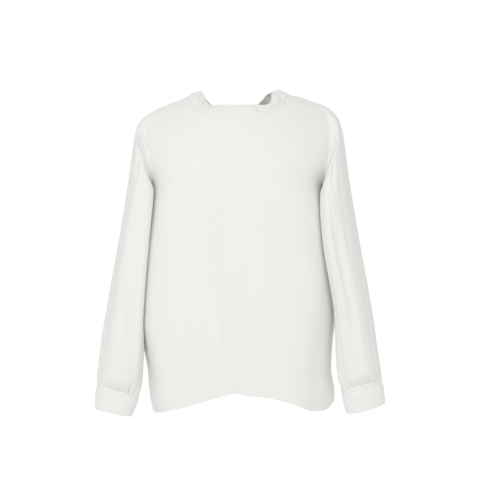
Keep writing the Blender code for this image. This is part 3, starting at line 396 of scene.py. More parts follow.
# Fastening at the nape
BUTTON_PLACE = 63 / 64  # round the collar
BUTTON_SHARE = 3 / 5  # of the collar's height
BUTTON_DIAMETER = 10.0
BUTTON_THICKNESS = 3.0
BUTTON_SIDES = 64
BUTTON_PLEATS, PLEAT_DEPTH, PLEAT_REACH = 24, 0.05, 1.2  # the gathered cloth under the button
SHANK_DIAMETER = 3.0
SHANK_WAIST = 0.9
SHANK_LENGTH = 2.2
SEAM_GAP = 0.3
TIP = 0.01  # radius at the closed ends of the button and the loop
LOOP_CORD = 1.4
LOOP_LIFT = 0.25
LOOP_SPREAD = 5.0  # between the loop's two legs at the collar's edge
LOOP_LEG = 4.5  # how far each leg lies on the collar
LOOP_SIDES, LOOP_STEPS = 16, 150
LOOP_BENDS, LOOP_EASING = 13, 12  # points round its end, and rounds of smoothing
LOOP_TWIST = 3.2  # length of one turn of its two plies
PLY_GROOVE = 0.18  # depth of the groove between them, as a share of the radius
BUTTON_PROFILE = (  # shares of its radius and of its thickness
    (0.55, 0.0), (0.84, 0.06), (0.96, 0.16), (1.0, 0.3), (0.99, 0.42), (0.94, 0.55),
    (0.86, 0.68), (0.74, 0.8), (0.6, 0.89), (0.42, 0.96), (0.2, 0.99),
)

# Cut sizes: the flat width and length of each piece, and its share of that rectangle
Cut = namedtuple("Cut", "width length share")

SHARP_ANGLE = math.radians(55)


def smooth(places, values, at):
    """A smooth curve through the values, read at `at`: level at each peak, and beyond the ends."""
    places, values, at = (np.asarray(a, float) for a in (places, values, at))
    steps = np.diff(places)
    slopes = np.diff(values) / steps
    tangents = np.concatenate((slopes[:1], slopes))
    tangents[1:-1] = (slopes[:-1] * steps[1:] + slopes[1:] * steps[:-1]) / (steps[:-1] + steps[1:])
    tangents[1:-1] *= slopes[:-1] * slopes[1:] > 0
    k = np.clip(np.searchsorted(places, at, side="right") - 1, 0, len(steps) - 1)
    t = np.clip((at - places[k]) / steps[k], 0, 1)
    rise = values[k + 1] - values[k]
    start, end = tangents[k] * steps[k], tangents[k + 1] * steps[k]
    return values[k] + t * (start + t * (3 * rise - 2 * start - end + t * (start + end - 2 * rise)))


def ease(t):
    t = np.clip(t, 0, 1)
    return t * t * (3 - 2 * t)


def hump(away, width=1.0):
    return np.exp(-((away / width) ** 2))


def unit(vectors):
    return vectors / np.maximum(np.linalg.norm(vectors, axis=-1, keepdims=True), 1e-12)


def lengths_along(points, axis=0):
    steps = np.linalg.norm(np.diff(points, axis=axis), axis=-1)
    start = np.zeros_like(np.take(steps, [0], axis=axis))
    return np.concatenate((start, np.cumsum(steps, axis=axis)), axis=axis)


def shares(cells, *fine):
    """Shares of a line from 0 to 1, with finer cells at its "start" or its "end"."""
    ramp = FINEST_CELL * CELL_GROWTH ** np.arange(cells)
    steps = np.ones(cells)
    if "start" in fine:
        steps = np.minimum(steps, ramp)
    if "end" in fine:
        steps = np.minimum(steps, ramp[::-1])
    return np.concatenate(([0], np.cumsum(steps))) / steps.sum()


def placed_along(points, parts):
    """Fractional positions in a dense row of points at shares of its length."""
    along = lengths_along(points)
    return np.interp(parts * along[-1], along, np.arange(len(points)))


def between(values, positions):
    """Values, one row for each whole position, read at fractional positions."""
    whole = np.clip(np.floor(positions).astype(int), 0, len(values) - 2)
    part = (positions - whole).reshape((-1,) + (1,) * (np.ndim(values) - 1))
    return values[whole] * (1 - part) + values[whole + 1] * part


def spread(values, ratio):
    """Values along a line, with ratio - 1 more between each two."""
    return between(values, np.arange((len(values) - 1) * ratio + 1) / ratio)


SHOULDER_SHARES = shares(SHOULDER_CELLS, "start")
ACROSS_SHARES = np.concatenate(
    (
        SHOULDER_SHARE * SHOULDER_SHARES[:-1],
        SHOULDER_SHARE + (1 - 2 * SHOULDER_SHARE) * shares(NECK_CELLS),
        1 - SHOULDER_SHARE * SHOULDER_SHARES[:-1][::-1],
    )
)
SIDE_SHARES = shares(SIDE_CELLS, "start")
ARMHOLE_SHARES = shares(ARMHOLE_CELLS, "start")  # down from the shoulder
UP_SHARES = np.concatenate(
    (SIDE_SHARE * SIDE_SHARES[:-1], 1 - (1 - SIDE_SHARE) * ARMHOLE_SHARES[::-1])
)
HALF_RING = spread(ARMHOLE_SHARES, SLEEVE_PER_ARMHOLE)
RING_DEGREES = np.concatenate((180 * HALF_RING[:-1], 360 - 180 * HALF_RING[::-1][:-1]))[None]
ARMHOLE_ROWS = slice(SIDE_CELLS, None)
NECK_COLUMNS = slice(SHOULDER_CELLS, SHOULDER_CELLS + NECK_CELLS + 1)
NAPE = NECK_CELLS // 2


# Torso surface


def torso(name, z):
    return smooth(TORSO.z, TORSO[name], z)


def torso_span(z):
    """(middle, half width) of the torso at a height."""
    left, right = torso("left", z), torso("right", z)
    return (right - left) / 2, (right + left) / 2


def shoulder_z(x):
    left, right = (smooth(SHOULDER.x, line, np.abs(x)) for line in (SHOULDER.left_z, SHOULDER.right_z))
    side = ease((np.asarray(x) + SHOULDER_BLEND) / (2 * SHOULDER_BLEND))
    return left * (1 - side) + right * side


def turn_and_fall(x, z):
    """Torso coordinates of a point: its turn from side seam to side seam, and its fall, which is the square
    root of its drop below the shoulder line."""
    middle, half = torso_span(z)
    turn = np.arcsin(np.clip((x - middle) / half, -1, 1)) / (math.pi / 2)
    return turn, np.sqrt(np.maximum(shoulder_z(x) - z, 0))


def torso_points(turn, fall, face):
    """Points of the torso. Its width and height depend on each other, so they are found in rounds."""
    across = np.sin(turn * math.pi / 2)
    z = -(fall**2)
    for _ in range(SETTLING_ROUNDS):
        middle, half = torso_span(z)
        x = middle + half * across
        z = shoulder_z(x) - fall**2
    share = np.clip(fall**2 / SHOULDER_ROUND[face], 0, 1)
    rounding = np.sqrt(1 - (1 - share) ** 2)
    oval = np.sqrt(np.maximum(1 - np.abs(across) ** torso("power", z), 0))
    y = torso("side_y", z) + face * torso(FACE[face], z) * oval * rounding
    return np.stack((x, y, z), axis=-1)


# Outlines of the body panels, as (turn, fall)


def cut_to_shares(turn, fall, face, parts):
    """A dense outline, read at shares of its length."""
    line = np.stack((turn, fall), axis=-1)
    return between(line, placed_along(torso_points(turn, fall, face), parts))


def armhole_line(side, face):
    """From the shoulder down to the underarm."""
    down = np.linspace(0, 1, LINE_SAMPLES)
    x, z = (smooth(ARMHOLE.down, ARMHOLE[f"{SIDE[side]}_{axis}"], down) for axis in "xz")
    turn, fall = turn_and_fall(side * x, z)
    turn[-1], fall[0] = side, 0
    return cut_to_shares(turn, fall, face, ARMHOLE_SHARES)


def neckline(face):
    """From the left neck point to the right one."""
    line = NECKLINES[face]
    x = np.concatenate(([NECK_POINT_X[LEFT]], line.x, [NECK_POINT_X[RIGHT]]))
    ends = shoulder_z(x[[0, -1]])
    z = np.concatenate((ends[:1], line.z, ends[1:]))
    along = lengths_along(np.stack((x, z), axis=-1))
    dense = np.linspace(0, along[-1], LINE_SAMPLES)
    turn, fall = turn_and_fall(smooth(along, x, dense), smooth(along, z, dense))
    fall[[0, -1]] = 0
    return cut_to_shares(turn, fall, face, shares(NECK_CELLS))


def shoulder_seam(side):
    """From the armhole to the neck point."""
    armhole_x = side * ARMHOLE[SIDE[side] + "_x"][0]
    x = armhole_x + (NECK_POINT_X[side] - armhole_x) * SHOULDER_SHARES
    turn, _ = turn_and_fall(x, shoulder_z(x))
    return np.stack((turn, np.zeros_like(turn)), axis=-1)


def hem_z(face, x):
    return smooth(HEM.x, HEM[FACE[face] + "_z"], x)


def side_seam(side, face):
    """From the hem up to the underarm."""
    hem = hem_z(face, side * torso(SIDE[side], SIDE_HEM_Z))
    z = hem + (UNDERARM_Z - hem) * SIDE_SHARES
    middle, half = torso_span(z)
    _, fall = turn_and_fall(middle + side * half, z)
    return np.stack((np.full_like(fall, side), fall), axis=-1)


def hem_edge(face):
    turn = 2 * ACROSS_SHARES - 1
    x = np.zeros_like(turn)
    for _ in range(SETTLING_ROUNDS):
        z = hem_z(face, x)
        middle, half = torso_span(z)
        x = middle + half * np.sin(turn * math.pi / 2)
    return np.stack((turn, np.sqrt(shoulder_z(x) - z)), axis=-1)


# Relief


def fold_heights(folds, turn, z):
    total = np.zeros_like(turn)
    for fold in folds:
        t = (z - fold.top_z) / (fold.low_z - fold.top_z)
        inside = ease(t / FOLD_START)
        t = np.clip(t, 0, 1)
        centre = fold.top_turn + (fold.low_turn - fold.top_turn) * t + fold.bend * 4 * t * (1 - t)
        away = (turn - centre) * GIRTH_PER_TURN
        width = np.where(away < 0, fold.left_width, fold.right_width)
        height = fold.top_height + (fold.low_height - fold.top_height) * t
        total += inside * height * hump(away, width)
    return total


def crease_heights(lines, x, z):
    """Ridges and troughs along slightly bent lines that die at both ends."""
    total = np.zeros_like(x)
    for crease in lines:
        run_x, run_z = crease.low_x - crease.top_x, crease.low_z - crease.top_z
        length = math.hypot(run_x, run_z)
        t = ((x - crease.top_x) * run_x + (z - crease.top_z) * run_z) / length**2
        away = ((x - crease.top_x) * run_z - (z - crease.top_z) * run_x) / length
        away = away - crease.bend * 4 * t * (1 - t)
        fade = ease(t / CREASE_FADE) * ease((1 - t) / CREASE_FADE)
        total += crease.height * fade * hump(away, crease.width)
    return total


def sleeve_fold_heights(folds, z):
    total = np.zeros_like(z)
    for fold in folds:
        t = (z - fold.top_z) / (fold.low_z - fold.top_z)
        rise = ease(t / SLEEVE_FOLD_FADE) * ease((1 - t) / SLEEVE_FOLD_FADE)
        centre = fold.top_angle + (fold.low_angle - fold.top_angle) * np.clip(t, 0, 1)
        total += rise * fold.height * hump((RING_DEGREES - centre) / 360 * SLEEVE_GIRTH, fold.width)
    return total


def ripples(round_it, down_it, height, seed):
    """Long shallow uneven ripples that run down the cloth."""
    draw = np.random.default_rng(seed)
    total = np.zeros_like(round_it)
    for _ in range(RIPPLE_COUNT):
        across, down = draw.uniform(*RIPPLE_ROUND), draw.uniform(*RIPPLE_DOWN) * draw.choice((-1, 1))
        swell = np.sin(2 * math.pi * (down_it / draw.uniform(*SWELL_LENGTHS) + draw.random()))
        waves = np.cos(2 * math.pi * (round_it / across + down_it / down + draw.random()))
        total += (1 + RIPPLE_SWELL * swell) * waves
    return height * total / RIPPLE_COUNT**0.5


def seam_roll(away, height):
    """How the cloth rises beside a seam, from nothing on the seam itself."""
    return height * away / ROLL_WIDTH * np.exp(1 - away / ROLL_WIDTH)


def puckers(along, away, height, spacing, reach, seed):
    """Small uneven waves that the stitches of a seam draw up beside it."""
    draw = np.random.default_rng(seed)
    waves = sum(
        np.cos(2 * math.pi * (along / (spacing * draw.uniform(*PUCKER_LENGTHS)) + draw.random()))
        for _ in range(PUCKER_WAVES)
    )
    return height * waves / 2 * ease(away / ROLL_WIDTH) * hump(away, reach)


def gathered(lines, from_seam, girth):
    """Narrow troughs with a ridge on each side, from a seam of a sleeve until they die out."""
    total = np.zeros(from_seam.shape)
    for gather in lines:
        along = from_seam / gather.length
        away = (RING_DEGREES - gather.angle - gather.drift * along + 180) % 360 - 180
        away = away / 360 * girth / (gather.width * (1 + GATHER_SPREAD * np.clip(along, 0, 1)))
        strength = gather.depth * ease(from_seam / GATHER_RISE) * np.clip(1 - along, 0, 1) ** GATHER_DYING
        ridges = hump(away - RIDGE_PLACE) + hump(away + RIDGE_PLACE)
        total += strength * (GATHER_RIDGE * ridges - hump(away))
    return total


def hidden_gathers(kind, seed):
    """Uneven gathers of a kind, spread between its two angles."""
    draw = np.random.default_rng(seed)
    step = (kind.span[1] - kind.span[0]) / kind.count
    return gathers(
        *(
            (
                kind.span[0] + step * (n + 0.5 + draw.uniform(-HIDDEN_SHIFT, HIDDEN_SHIFT)),
                draw.uniform(*kind.length),
                draw.uniform(*kind.width),
                draw.uniform(*kind.depth),
                draw.uniform(-HIDDEN_DRIFT, HIDDEN_DRIFT),
            )
            for n in range(kind.count)
        )
    )


# Pieces of cloth


class Cloth:
    """A grid of points on a piece's middle surface, with the way out of the cloth at each of them."""

    def __init__(self, points, outward, closed=False):
        self.points, self.closed = points, closed
        self.find_out(outward)

    def find_out(self, outward):
        if self.closed:
            across = np.roll(self.points, -1, axis=1) - np.roll(self.points, 1, axis=1)
        else:
            across = np.gradient(self.points, axis=1)
        self.out = unit(np.cross(across, np.gradient(self.points, axis=0)))
        if np.sum(self.out * outward) < 0:
            self.out = -self.out

    def raised(self, heights):
        self.points = self.points + heights[..., None] * self.out
        self.find_out(self.out)
        return self

    def from_start(self, axis):
        """How far each point lies along the cloth from the first row (axis 0) or column (axis 1)."""
        return lengths_along(self.points, axis)

    def from_end(self, axis):
        along = self.from_start(axis)
        return np.take(along, [-1], axis=axis) - along

    def wrapped(self, grid):
        """The grid, with its first column once more at the end where the cloth is closed to a ring."""
        return np.concatenate((grid, grid[:, :1]), axis=1) if self.closed else grid

    def girth(self):
        return lengths_along(self.wrapped(self.points), 1)[:, -1:]


def progress(falls):
    """How far a line of falls has come, from 0 at its start to 1 at its end."""
    return ((falls[0] - falls) / (falls[0] - falls[-1]))[:, None]


def panel_grid(hem, top, left, right, u, v):
    """(turn, fall) all over a panel, from its four edges. Near its sides the rows follow the side seams and
    the armholes, and between them each row is level."""
    a, b = u[..., None], v[..., None]
    corners = (1 - b) * ((1 - a) * hem[0] + a * hem[-1]) + b * ((1 - a) * top[0] + a * top[-1])
    grid = (1 - b) * hem[None] + b * top[None] + (1 - a) * left[:, None] + a * right[:, None] - corners
    middle = len(hem) // 2
    drops = hem[middle, 1] ** 2, shoulder_z(0) - UNDERARM_Z, top[middle, 1] ** 2
    level = progress(np.sqrt(np.interp(v[:, 0], (0, SIDE_SHARE, 1), drops)))
    sides = (1 - u) * progress(left[:, 1]) + u * progress(right[:, 1])
    inside = ease((np.minimum(u, 1 - u) - SHOULDER_SHARE) / INSIDE_BLEND)
    grid[..., 1] = hem[:, 1] + (top[:, 1] - hem[:, 1]) * (sides + (level - sides) * inside)
    grid[:, 0], grid[:, -1], grid[-1] = left, right, top
    return grid


def body_panel(face, sizes):
    hem = hem_edge(face)
    top = np.concatenate((shoulder_seam(LEFT)[:-1], neckline(face), shoulder_seam(RIGHT)[::-1][1:]))
    left, right = (
        np.concatenate((side_seam(s, face)[:-1], armhole_line(s, face)[::-1])) for s in (LEFT, RIGHT)
    )
    left[0], right[0] = hem[0], hem[-1]
    u, v = ACROSS_SHARES[None], UP_SHARES[:, None]
    turn, fall = np.moveaxis(panel_grid(hem, top, left, right, u, v), -1, 0)
    cloth = Cloth(torso_points(turn, fall, face), (0, face, 0))
    heights = fold_heights(BODY_FOLDS[face], turn, cloth.points[..., 2])
    fade = ease(u / FOLD_EDGE) * ease((1 - u) / FOLD_EDGE) * ease((1 - v) / FOLD_EDGE)
    return cloth.raised(heights * fade + body_relief(face, cloth, turn, sizes))


def body_relief(face, cloth, turn, sizes):
    """Creases, ripples, rolled and puckered seams and a turned hem."""
    from_left, from_right = cloth.from_start(1), cloth.from_end(1)
    from_hem, from_top = cloth.from_start(0), cloth.from_end(0)
    total = crease_heights(CREASES[face], cloth.points[..., 0], cloth.points[..., 2])
    total += ripples(turn * GIRTH_PER_TURN, cloth.points[..., 2], sizes.ripple, seed=11 + face)
    total *= ease(np.minimum(np.minimum(from_left, from_right), from_top) / RIPPLE_FADE)
    seams = (
        (from_left, from_hem[:, :1], 1),
        (from_right, from_hem[:, -1:], 1),
        (from_top, from_left[-1:], TOP_ROLL),
    )
    for n, (away, along, rise) in enumerate(seams):
        others = np.minimum.reduce([other for other, _, _ in seams if other is not away])
        corner = ease(others / RIPPLE_FADE)
        total += seam_roll(away, sizes.roll * rise) * corner
        pucker = sizes.pucker * BODY_PUCKER
        total += puckers(along, away, pucker, spacing=12, reach=8, seed=21 + 10 * face + n) * corner
    line = hump(from_hem - HEM_TURN, HEM_LINE_WIDTH)
    swell = hump(from_hem - HEM_TURN / 2, HEM_SWELL_WIDTH)
    wave = puckers(from_left[:1], from_hem, sizes.pucker, spacing=16, reach=14, seed=31 + face)
    hem = swell * sizes.roll / 2 - line * sizes.roll / 2 + wave
    return total + hem * ease(np.minimum(from_left, from_right) / RIPPLE_FADE)


def oval_ring(outer_x, outer_z, inner_x, inner_z, front, back, lean=0):
    """A ring from its outer line by the front to its inner line and back. Its inner line lies further
    forward than its outer one by the lean."""
    angle = np.linspace(0, math.pi, LINE_SAMPLES)
    turn = np.cos(angle)
    x = (outer_x + inner_x) / 2 + (outer_x - inner_x) / 2 * turn
    z = (outer_z + inner_z) / 2 + (outer_z - inner_z) / 2 * turn
    half = np.stack((x, -(back + front) / 2 * np.sin(angle), z, turn), axis=-1)
    half = between(half, placed_along(half[:, :3], HALF_RING))
    ring = np.concatenate((half[:-1], (half * (1, -1, 1, 1))[::-1][:-1]))
    ring[:, 1] += (back - front) / 2 - lean * (1 - ring[:, 3]) / 2
    return ring[:, :3]


def beside_torso(side, points, rings):
    """The sleeve's points, moved out to where they lie beside the body below the underarm."""
    y, z = points[..., 1], points[..., 2]
    middle, half = torso_span(z)
    off_side = y - torso("side_y", z)
    depth = np.where(off_side < 0, torso("front", z), torso("back", z))
    flat = np.maximum(1 - (off_side / depth) ** 2, 0) ** (1 / torso("power", z))
    short = side * middle + half * flat + BESIDE_TORSO - side * points[..., 0]
    push = np.maximum(short - BESIDE_ROUND, 0)
    push += (np.clip(short, -BESIDE_ROUND, BESIDE_ROUND) + BESIDE_ROUND) ** 2 / (4 * BESIDE_ROUND)
    from_z = UNDERARM_Z + BESIDE_RISE * ease((rings - 1) / BESIDE_RINGS)
    push *= ease(rings) * ease((from_z - z) / BESIDE_DROP)
    return points + np.stack((side * push, 0 * y, 0 * z), axis=-1)


def sleeve(side, seam, sizes):
    outer, inner = seam[0, ::2] * (side, 1), seam[len(seam) // 2, ::2] * (side, 1)
    start = (*outer, *inner, -seam[:, 1].min(), seam[:, 1].max(), 0, 1)
    table = np.vstack((start, SLEEVE_RINGS[side]))
    places = lengths_along((table[:, 0:2] + table[:, 2:4]) / 2)
    at = places[-1] * shares(SLEEVE_ROWS, "start", "end")
    leftover = seam * (side, 1, 1) - oval_ring(*start[:6])
    read = np.stack([smooth(places, values, at) for values in table.T], axis=-1)
    rings = [oval_ring(*row[:7]) + row[7] * leftover for row in read]
    ring = np.interp(at, places, np.arange(len(places)))[:, None]
    points = beside_torso(side, np.array(rings) * (side, 1, 1), ring)
    cloth = Cloth(points, points - points.mean(axis=1, keepdims=True), closed=True)
    return cloth.raised(sleeve_relief(side, ring, cloth, sizes))


def sleeve_relief(side, ring, cloth, sizes):
    """Gathers at the head and the cuff, lengthwise folds and ripples, and rolled seams."""
    x, z = cloth.points[..., 0], cloth.points[..., 2]
    from_head, from_cuff, girth = cloth.from_start(0), cloth.from_end(0), cloth.girth()
    free = ease(ring / FREE_OF_HEAD) * ease((len(SLEEVE_RINGS[side]) - ring) / FREE_OF_CUFF)
    total = free * sleeve_fold_heights((*SLEEVE_FOLDS[side], *SLEEVE_CREASES[side]), z)
    round_it = RING_DEGREES / 360 * SLEEVE_GIRTH + np.zeros_like(z)
    total += free * ripples(round_it, z, sizes.ripple, seed=41 + side)
    facing = unit(cloth.out)[..., 1]
    for face in (FRONT, BACK):
        fallen = crease_heights(HEAD_CREASES[side][face], x, z)
        total += fallen * ease(face * facing * 2) * ease(from_head / GATHER_RISE)
    hidden_head, hidden_cuff = hidden_gathers(HIDDEN_HEAD, 51 + side), hidden_gathers(HIDDEN_CUFF, 61 + side)
    total += gathered((*HEAD_GATHERS[side], *hidden_head), from_head, girth)
    total += gathered((*CUFF_GATHERS[side], *hidden_cuff), from_cuff, girth)
    along_head, along_cuff = RING_DEGREES / 360 * girth[0], RING_DEGREES / 360 * girth[-1]
    total += seam_roll(from_head, sizes.roll) + seam_roll(from_cuff, sizes.roll)
    total += puckers(along_head, from_head, sizes.pucker * HEAD_PUCKER, spacing=11, reach=8, seed=71 + side)
    total += puckers(along_cuff, from_cuff, sizes.pucker, spacing=8, reach=7, seed=81 + side)
    return total


def cuff(side, sizes):
    edge = CUFF_EDGES[side]
    upper, lower = oval_ring(*SLEEVE_RINGS[side][-1, :6]), oval_ring(*edge[:6])
    forward = 2 * (lower[:, 1].mean() - lower[:, 1]) / np.ptp(lower[:, 1])  # -1 behind to 1 in front
    lower[:, 2] -= edge.front_drop * forward
    down = shares(CUFF_LEVELS, "start", "end")[:, None, None]
    points = (upper * (1 - down) + lower * down) * (side, 1, 1)
    cloth = Cloth(points, points - points.mean(axis=1, keepdims=True), closed=True)
    below = down[..., 0] * CUFF_HEIGHT
    along = RING_DEGREES / 360 * cloth.girth()[0]
    ridge = RIDGE_HEIGHT * hump(below - RIDGE_BELOW, RIDGE_WIDTH)
    evenly = np.full_like(below, RIDGE_AWAY)
    wave = puckers(along, evenly, height=1.0, spacing=8, reach=60, seed=91 + side)
    swell = SWELL_HEIGHT * np.cos(2 * math.pi * (2 * RING_DEGREES / 360 + below / SWELL_RUN))
    relief = smooth(CUFF_ROWS.below, CUFF_ROWS.relief, below) + ridge * wave * ease(below / ROLL_WIDTH)
    from_stitches = below - CUFF_STITCHES_BELOW
    relief = relief + puckers(along, from_stitches, sizes.pucker, spacing=9, reach=9, seed=95 + side)
    return cloth.raised(relief + swell * ease(below / SWELL_START))


def segment_distance(x, y, x0, y0, x1, y1):
    run = ((x - x0) * (x1 - x0) + (y - y0) * (y1 - y0)) / ((x1 - x0) ** 2 + (y1 - y0) ** 2)
    run = np.clip(run, 0, 1)
    return np.hypot(x - x0 - run * (x1 - x0), y - y0 - run * (y1 - y0))


def collar(seam, sizes):
    place = np.linspace(0, 1, len(seam))
    top = [smooth(COLLAR_TOP.place, COLLAR_TOP[axis], place) for axis in "xyz"]
    seam = seam.copy()
    seam[[0, -1], 0] = -SLIT_GAP / 2, SLIT_GAP / 2
    share = shares(COLLAR_LEVELS, "start", "end")[:, None]
    points = seam[None] * (1 - share[..., None]) + np.stack(top, axis=-1)[None] * share[..., None]
    cloth = Cloth(points, points - points.mean(axis=(0, 1)))
    heights = smooth(COLLAR_TOP.place, COLLAR_TOP.bow, place)[None] * 4 * share * (1 - share)
    for folds, free in ((COLLAR_FOLDS, COLLAR_FREE), (COLLAR_CREASES, CREASE_FREE)):
        for fold in folds:
            away = segment_distance(
                place[None] * COLLAR_ROUND,
                share * COLLAR_HEIGHT,
                fold.from_place * COLLAR_ROUND,
                fold.from_share * COLLAR_HEIGHT,
                fold.to_place * COLLAR_ROUND,
                fold.to_share * COLLAR_HEIGHT,
            )
            heights = heights - fold.depth * hump(away, fold.width) * ease(share / free)
    from_seam, along = cloth.from_start(0), cloth.from_start(1)[:1]
    heights = heights + seam_roll(from_seam, sizes.roll * COLLAR_ROLL)
    heights += puckers(along, from_seam, sizes.pucker * BODY_PUCKER, spacing=10, reach=7, seed=101)
    level = ripples(from_seam * 3, along + 0 * from_seam, sizes.ripple / 2, seed=102)
    return cloth.raised(heights + level * ease(from_seam / RIPPLE_FADE))


# Seams. The pieces that meet at one share the way out of the cloth there.


def mitre(*directions):
    """One way out that the pieces meeting at a seam share, longer where they meet at an angle."""
    shared = unit(sum(directions))
    lean = np.sum(shared * directions[0], axis=-1, keepdims=True)
    return shared / np.maximum(lean, MITRE_LIMIT)


def armhole_ring(front, back, side):
    """The panels' points or ways out round an armhole, from the shoulder by the front to the underarm and
    back up."""
    part = ARMHOLE_ROWS, EDGE[side]
    return np.concatenate((front[part][::-1], back[part][1:]))


def neck_ring(front, back):
    """The same round the neck seam, from the nape by the left shoulder and the front, and back."""
    fore, hind = front[-1, NECK_COLUMNS], back[-1, NECK_COLUMNS]
    return np.concatenate((hind[NAPE:0:-1], fore, hind[-2 : NAPE - 1 : -1]))


def join_armhole(front, back, arm, side):
    out = armhole_ring(front.out, back.out, side)[:-1]
    shared = mitre(out, arm.out[0, ::SLEEVE_PER_ARMHOLE])
    closed = np.concatenate((shared, shared[:1]))
    arm.out[0] = spread(closed, SLEEVE_PER_ARMHOLE)[:-1]
    front.out[ARMHOLE_ROWS, EDGE[side]] = closed[: ARMHOLE_CELLS + 1][::-1]
    back.out[ARMHOLE_ROWS, EDGE[side]] = closed[ARMHOLE_CELLS:]


def join_neck(front, back, band):
    shared = mitre(neck_ring(front.out, back.out), band.out[0, ::COLLAR_PER_NECK])
    band.out[0] = spread(shared, COLLAR_PER_NECK)
    front.out[-1, NECK_COLUMNS] = shared[NAPE : NAPE + NECK_CELLS + 1]
    back.out[-1, NECK_COLUMNS] = np.concatenate((shared[NAPE::-1], shared[-2 : -NAPE - 2 : -1]))


def join_sides(front, back):
    """The side seams and the shoulder seams, where the two panels have the same points."""
    every = slice(None)
    left, right = slice(0, SHOULDER_CELLS + 1), slice(-SHOULDER_CELLS - 1, None)
    for seam in ((every, 0), (every, -1), (-1, left), (-1, right)):
        front.out[seam] = back.out[seam] = mitre(front.out[seam], back.out[seam])


Relief = namedtuple("Relief", "roll pucker ripple")
Blouse = namedtuple("Blouse", "front back sleeves cuffs collar")


@functools.lru_cache(maxsize=1)
def cut_blouse(sizes):
    """Every piece of cloth, joined at its seams."""
    front, back = body_panel(FRONT, sizes), body_panel(BACK, sizes)
    join_sides(front, back)
    sleeves, cuffs = {}, {}
    for side in (LEFT, RIGHT):
        line = armhole_ring(front.points, back.points, side)
        arm = sleeves[side] = sleeve(side, spread(line, SLEEVE_PER_ARMHOLE)[:-1], sizes)
        band = cuffs[side] = cuff(side, sizes)
        join_armhole(front, back, arm, side)
        arm.out[-1] = band.out[0] = mitre(band.out[0], arm.out[-1])
    line = neck_ring(front.points, back.points)
    band = collar(spread(line, COLLAR_PER_NECK), sizes)
    join_neck(front, back, band)
    return Blouse(front, back, sleeves, cuffs, band)


# Meshes


def linked(name, data):
    made = bpy.data.objects.new(name, data)
    bpy.context.scene.collection.objects.link(made)
    return made


def object_from(name, points, faces, finish, flat=None):
    """An object from points in millimetres. flat holds the place of each face's corners in the cut cloth."""
    mesh = bpy.data.meshes.new(name)
    mesh.from_pydata((np.asarray(points) * MM).tolist(), [], np.asarray(faces).tolist())
    if flat is not None:
        layer = mesh.uv_layers.new(name="cut")
        layer.uv.foreach_set("vector", (flat * MM).astype(np.float32).ravel())
    mesh.materials.append(finish)
    mesh.shade_smooth()
    mesh.set_sharp_from_angle(angle=SHARP_ANGLE)
    return linked(name, mesh)


def cells(grid):
    """The corners of each cell of a grid, in order round it."""
    return np.stack((grid[:-1, :-1], grid[:-1, 1:], grid[1:, 1:], grid[1:, :-1]), axis=2)


def rim_edges(faces, count):
    """The two ends of each edge that only one face has."""
    a, b = faces.ravel(), np.roll(faces, -1, axis=1).ravel()
    alone = ~np.isin(a * count + b, b * count + a)
    return a[alone], b[alone]


def rim_ways(points, out, faces):
    """At each point of an open edge, the way on along the cloth, past the edge."""
    middles = points[faces].mean(axis=1)
    ways = np.zeros_like(points)
    for corner in faces.T:
        np.add.at(ways, corner, unit(points[corner] - middles))
    ways -= out * np.sum(ways * out, axis=1, keepdims=True)
    return unit(ways)


def sewn(name, cloth, thickness, finish, slit=None):
    """Both faces of a piece of cloth, closed round its edges.

    The thickness is (outer, inner, rounded): how far its two faces lie from its middle surface, and how far
    past its edge the rim between them swells. A slit is (row, column): it parts that column from that row
    up."""
    shape = cloth.points.shape[:2]
    outer, inner, rounded = (np.broadcast_to(values, shape).reshape(-1, 1) for values in thickness)
    points, out = cloth.points.reshape(-1, 3), cloth.out.reshape(-1, 3)
    index = np.arange(len(points)).reshape(shape)
    quads = cells(cloth.wrapped(index))
    if slit is not None:
        row, column = slit
        lip = index[row:, column]
        past = index.copy()
        past[row:, column] = len(points) + np.arange(len(lip))
        quads[:, column:] = cells(past)[:, column:]
        shift = np.array((SLIT_GAP / 2, 0, 0))
        points = np.concatenate((points, points[lip] + shift))
        points[lip] -= shift
        out, outer, inner, rounded = (np.concatenate((v, v[lip])) for v in (out, outer, inner, rounded))
    across, along = (lengths_along(cloth.wrapped(cloth.points), axis) for axis in (1, 0))
    across -= across[:, across.shape[1] // 2][:, None]
    flat = cells(np.stack((across, along), axis=-1)).reshape(-1, 4, 2)
    quads = quads.reshape(-1, 4)
    a, b, c = (points[quads[:, n]] for n in range(3))
    if np.sum(np.cross(b - a, c - a) * out[quads[:, 0]]) < 0:
        quads, flat = quads[:, ::-1], flat[:, ::-1]
    count = len(points)
    start, end = rim_edges(quads, count)
    rim = np.unique(start)
    middle = np.zeros(count, int)
    middle[rim] = 2 * count + np.arange(len(rim))
    edge = points + out * (outer - inner) / 2 + rim_ways(points, unit(out), quads) * rounded
    layers = np.concatenate((points + out * outer, points - out * inner, edge[rim]))
    upper = np.stack((end, start, middle[start], middle[end]), axis=-1)
    lower = np.stack((middle[end], middle[start], start + count, end + count), axis=-1)
    faces = np.concatenate((quads, quads[:, ::-1] + count, upper, lower))
    corner = np.zeros((count, 2))
    corner[quads.ravel()] = flat.reshape(-1, 2)
    rim_flat = corner[np.stack((end, start, start, end), axis=1)]
    flat = np.concatenate((flat, flat[:, ::-1], rim_flat, rim_flat)).reshape(-1, 2)
    return object_from(name, layers, faces, finish, flat)


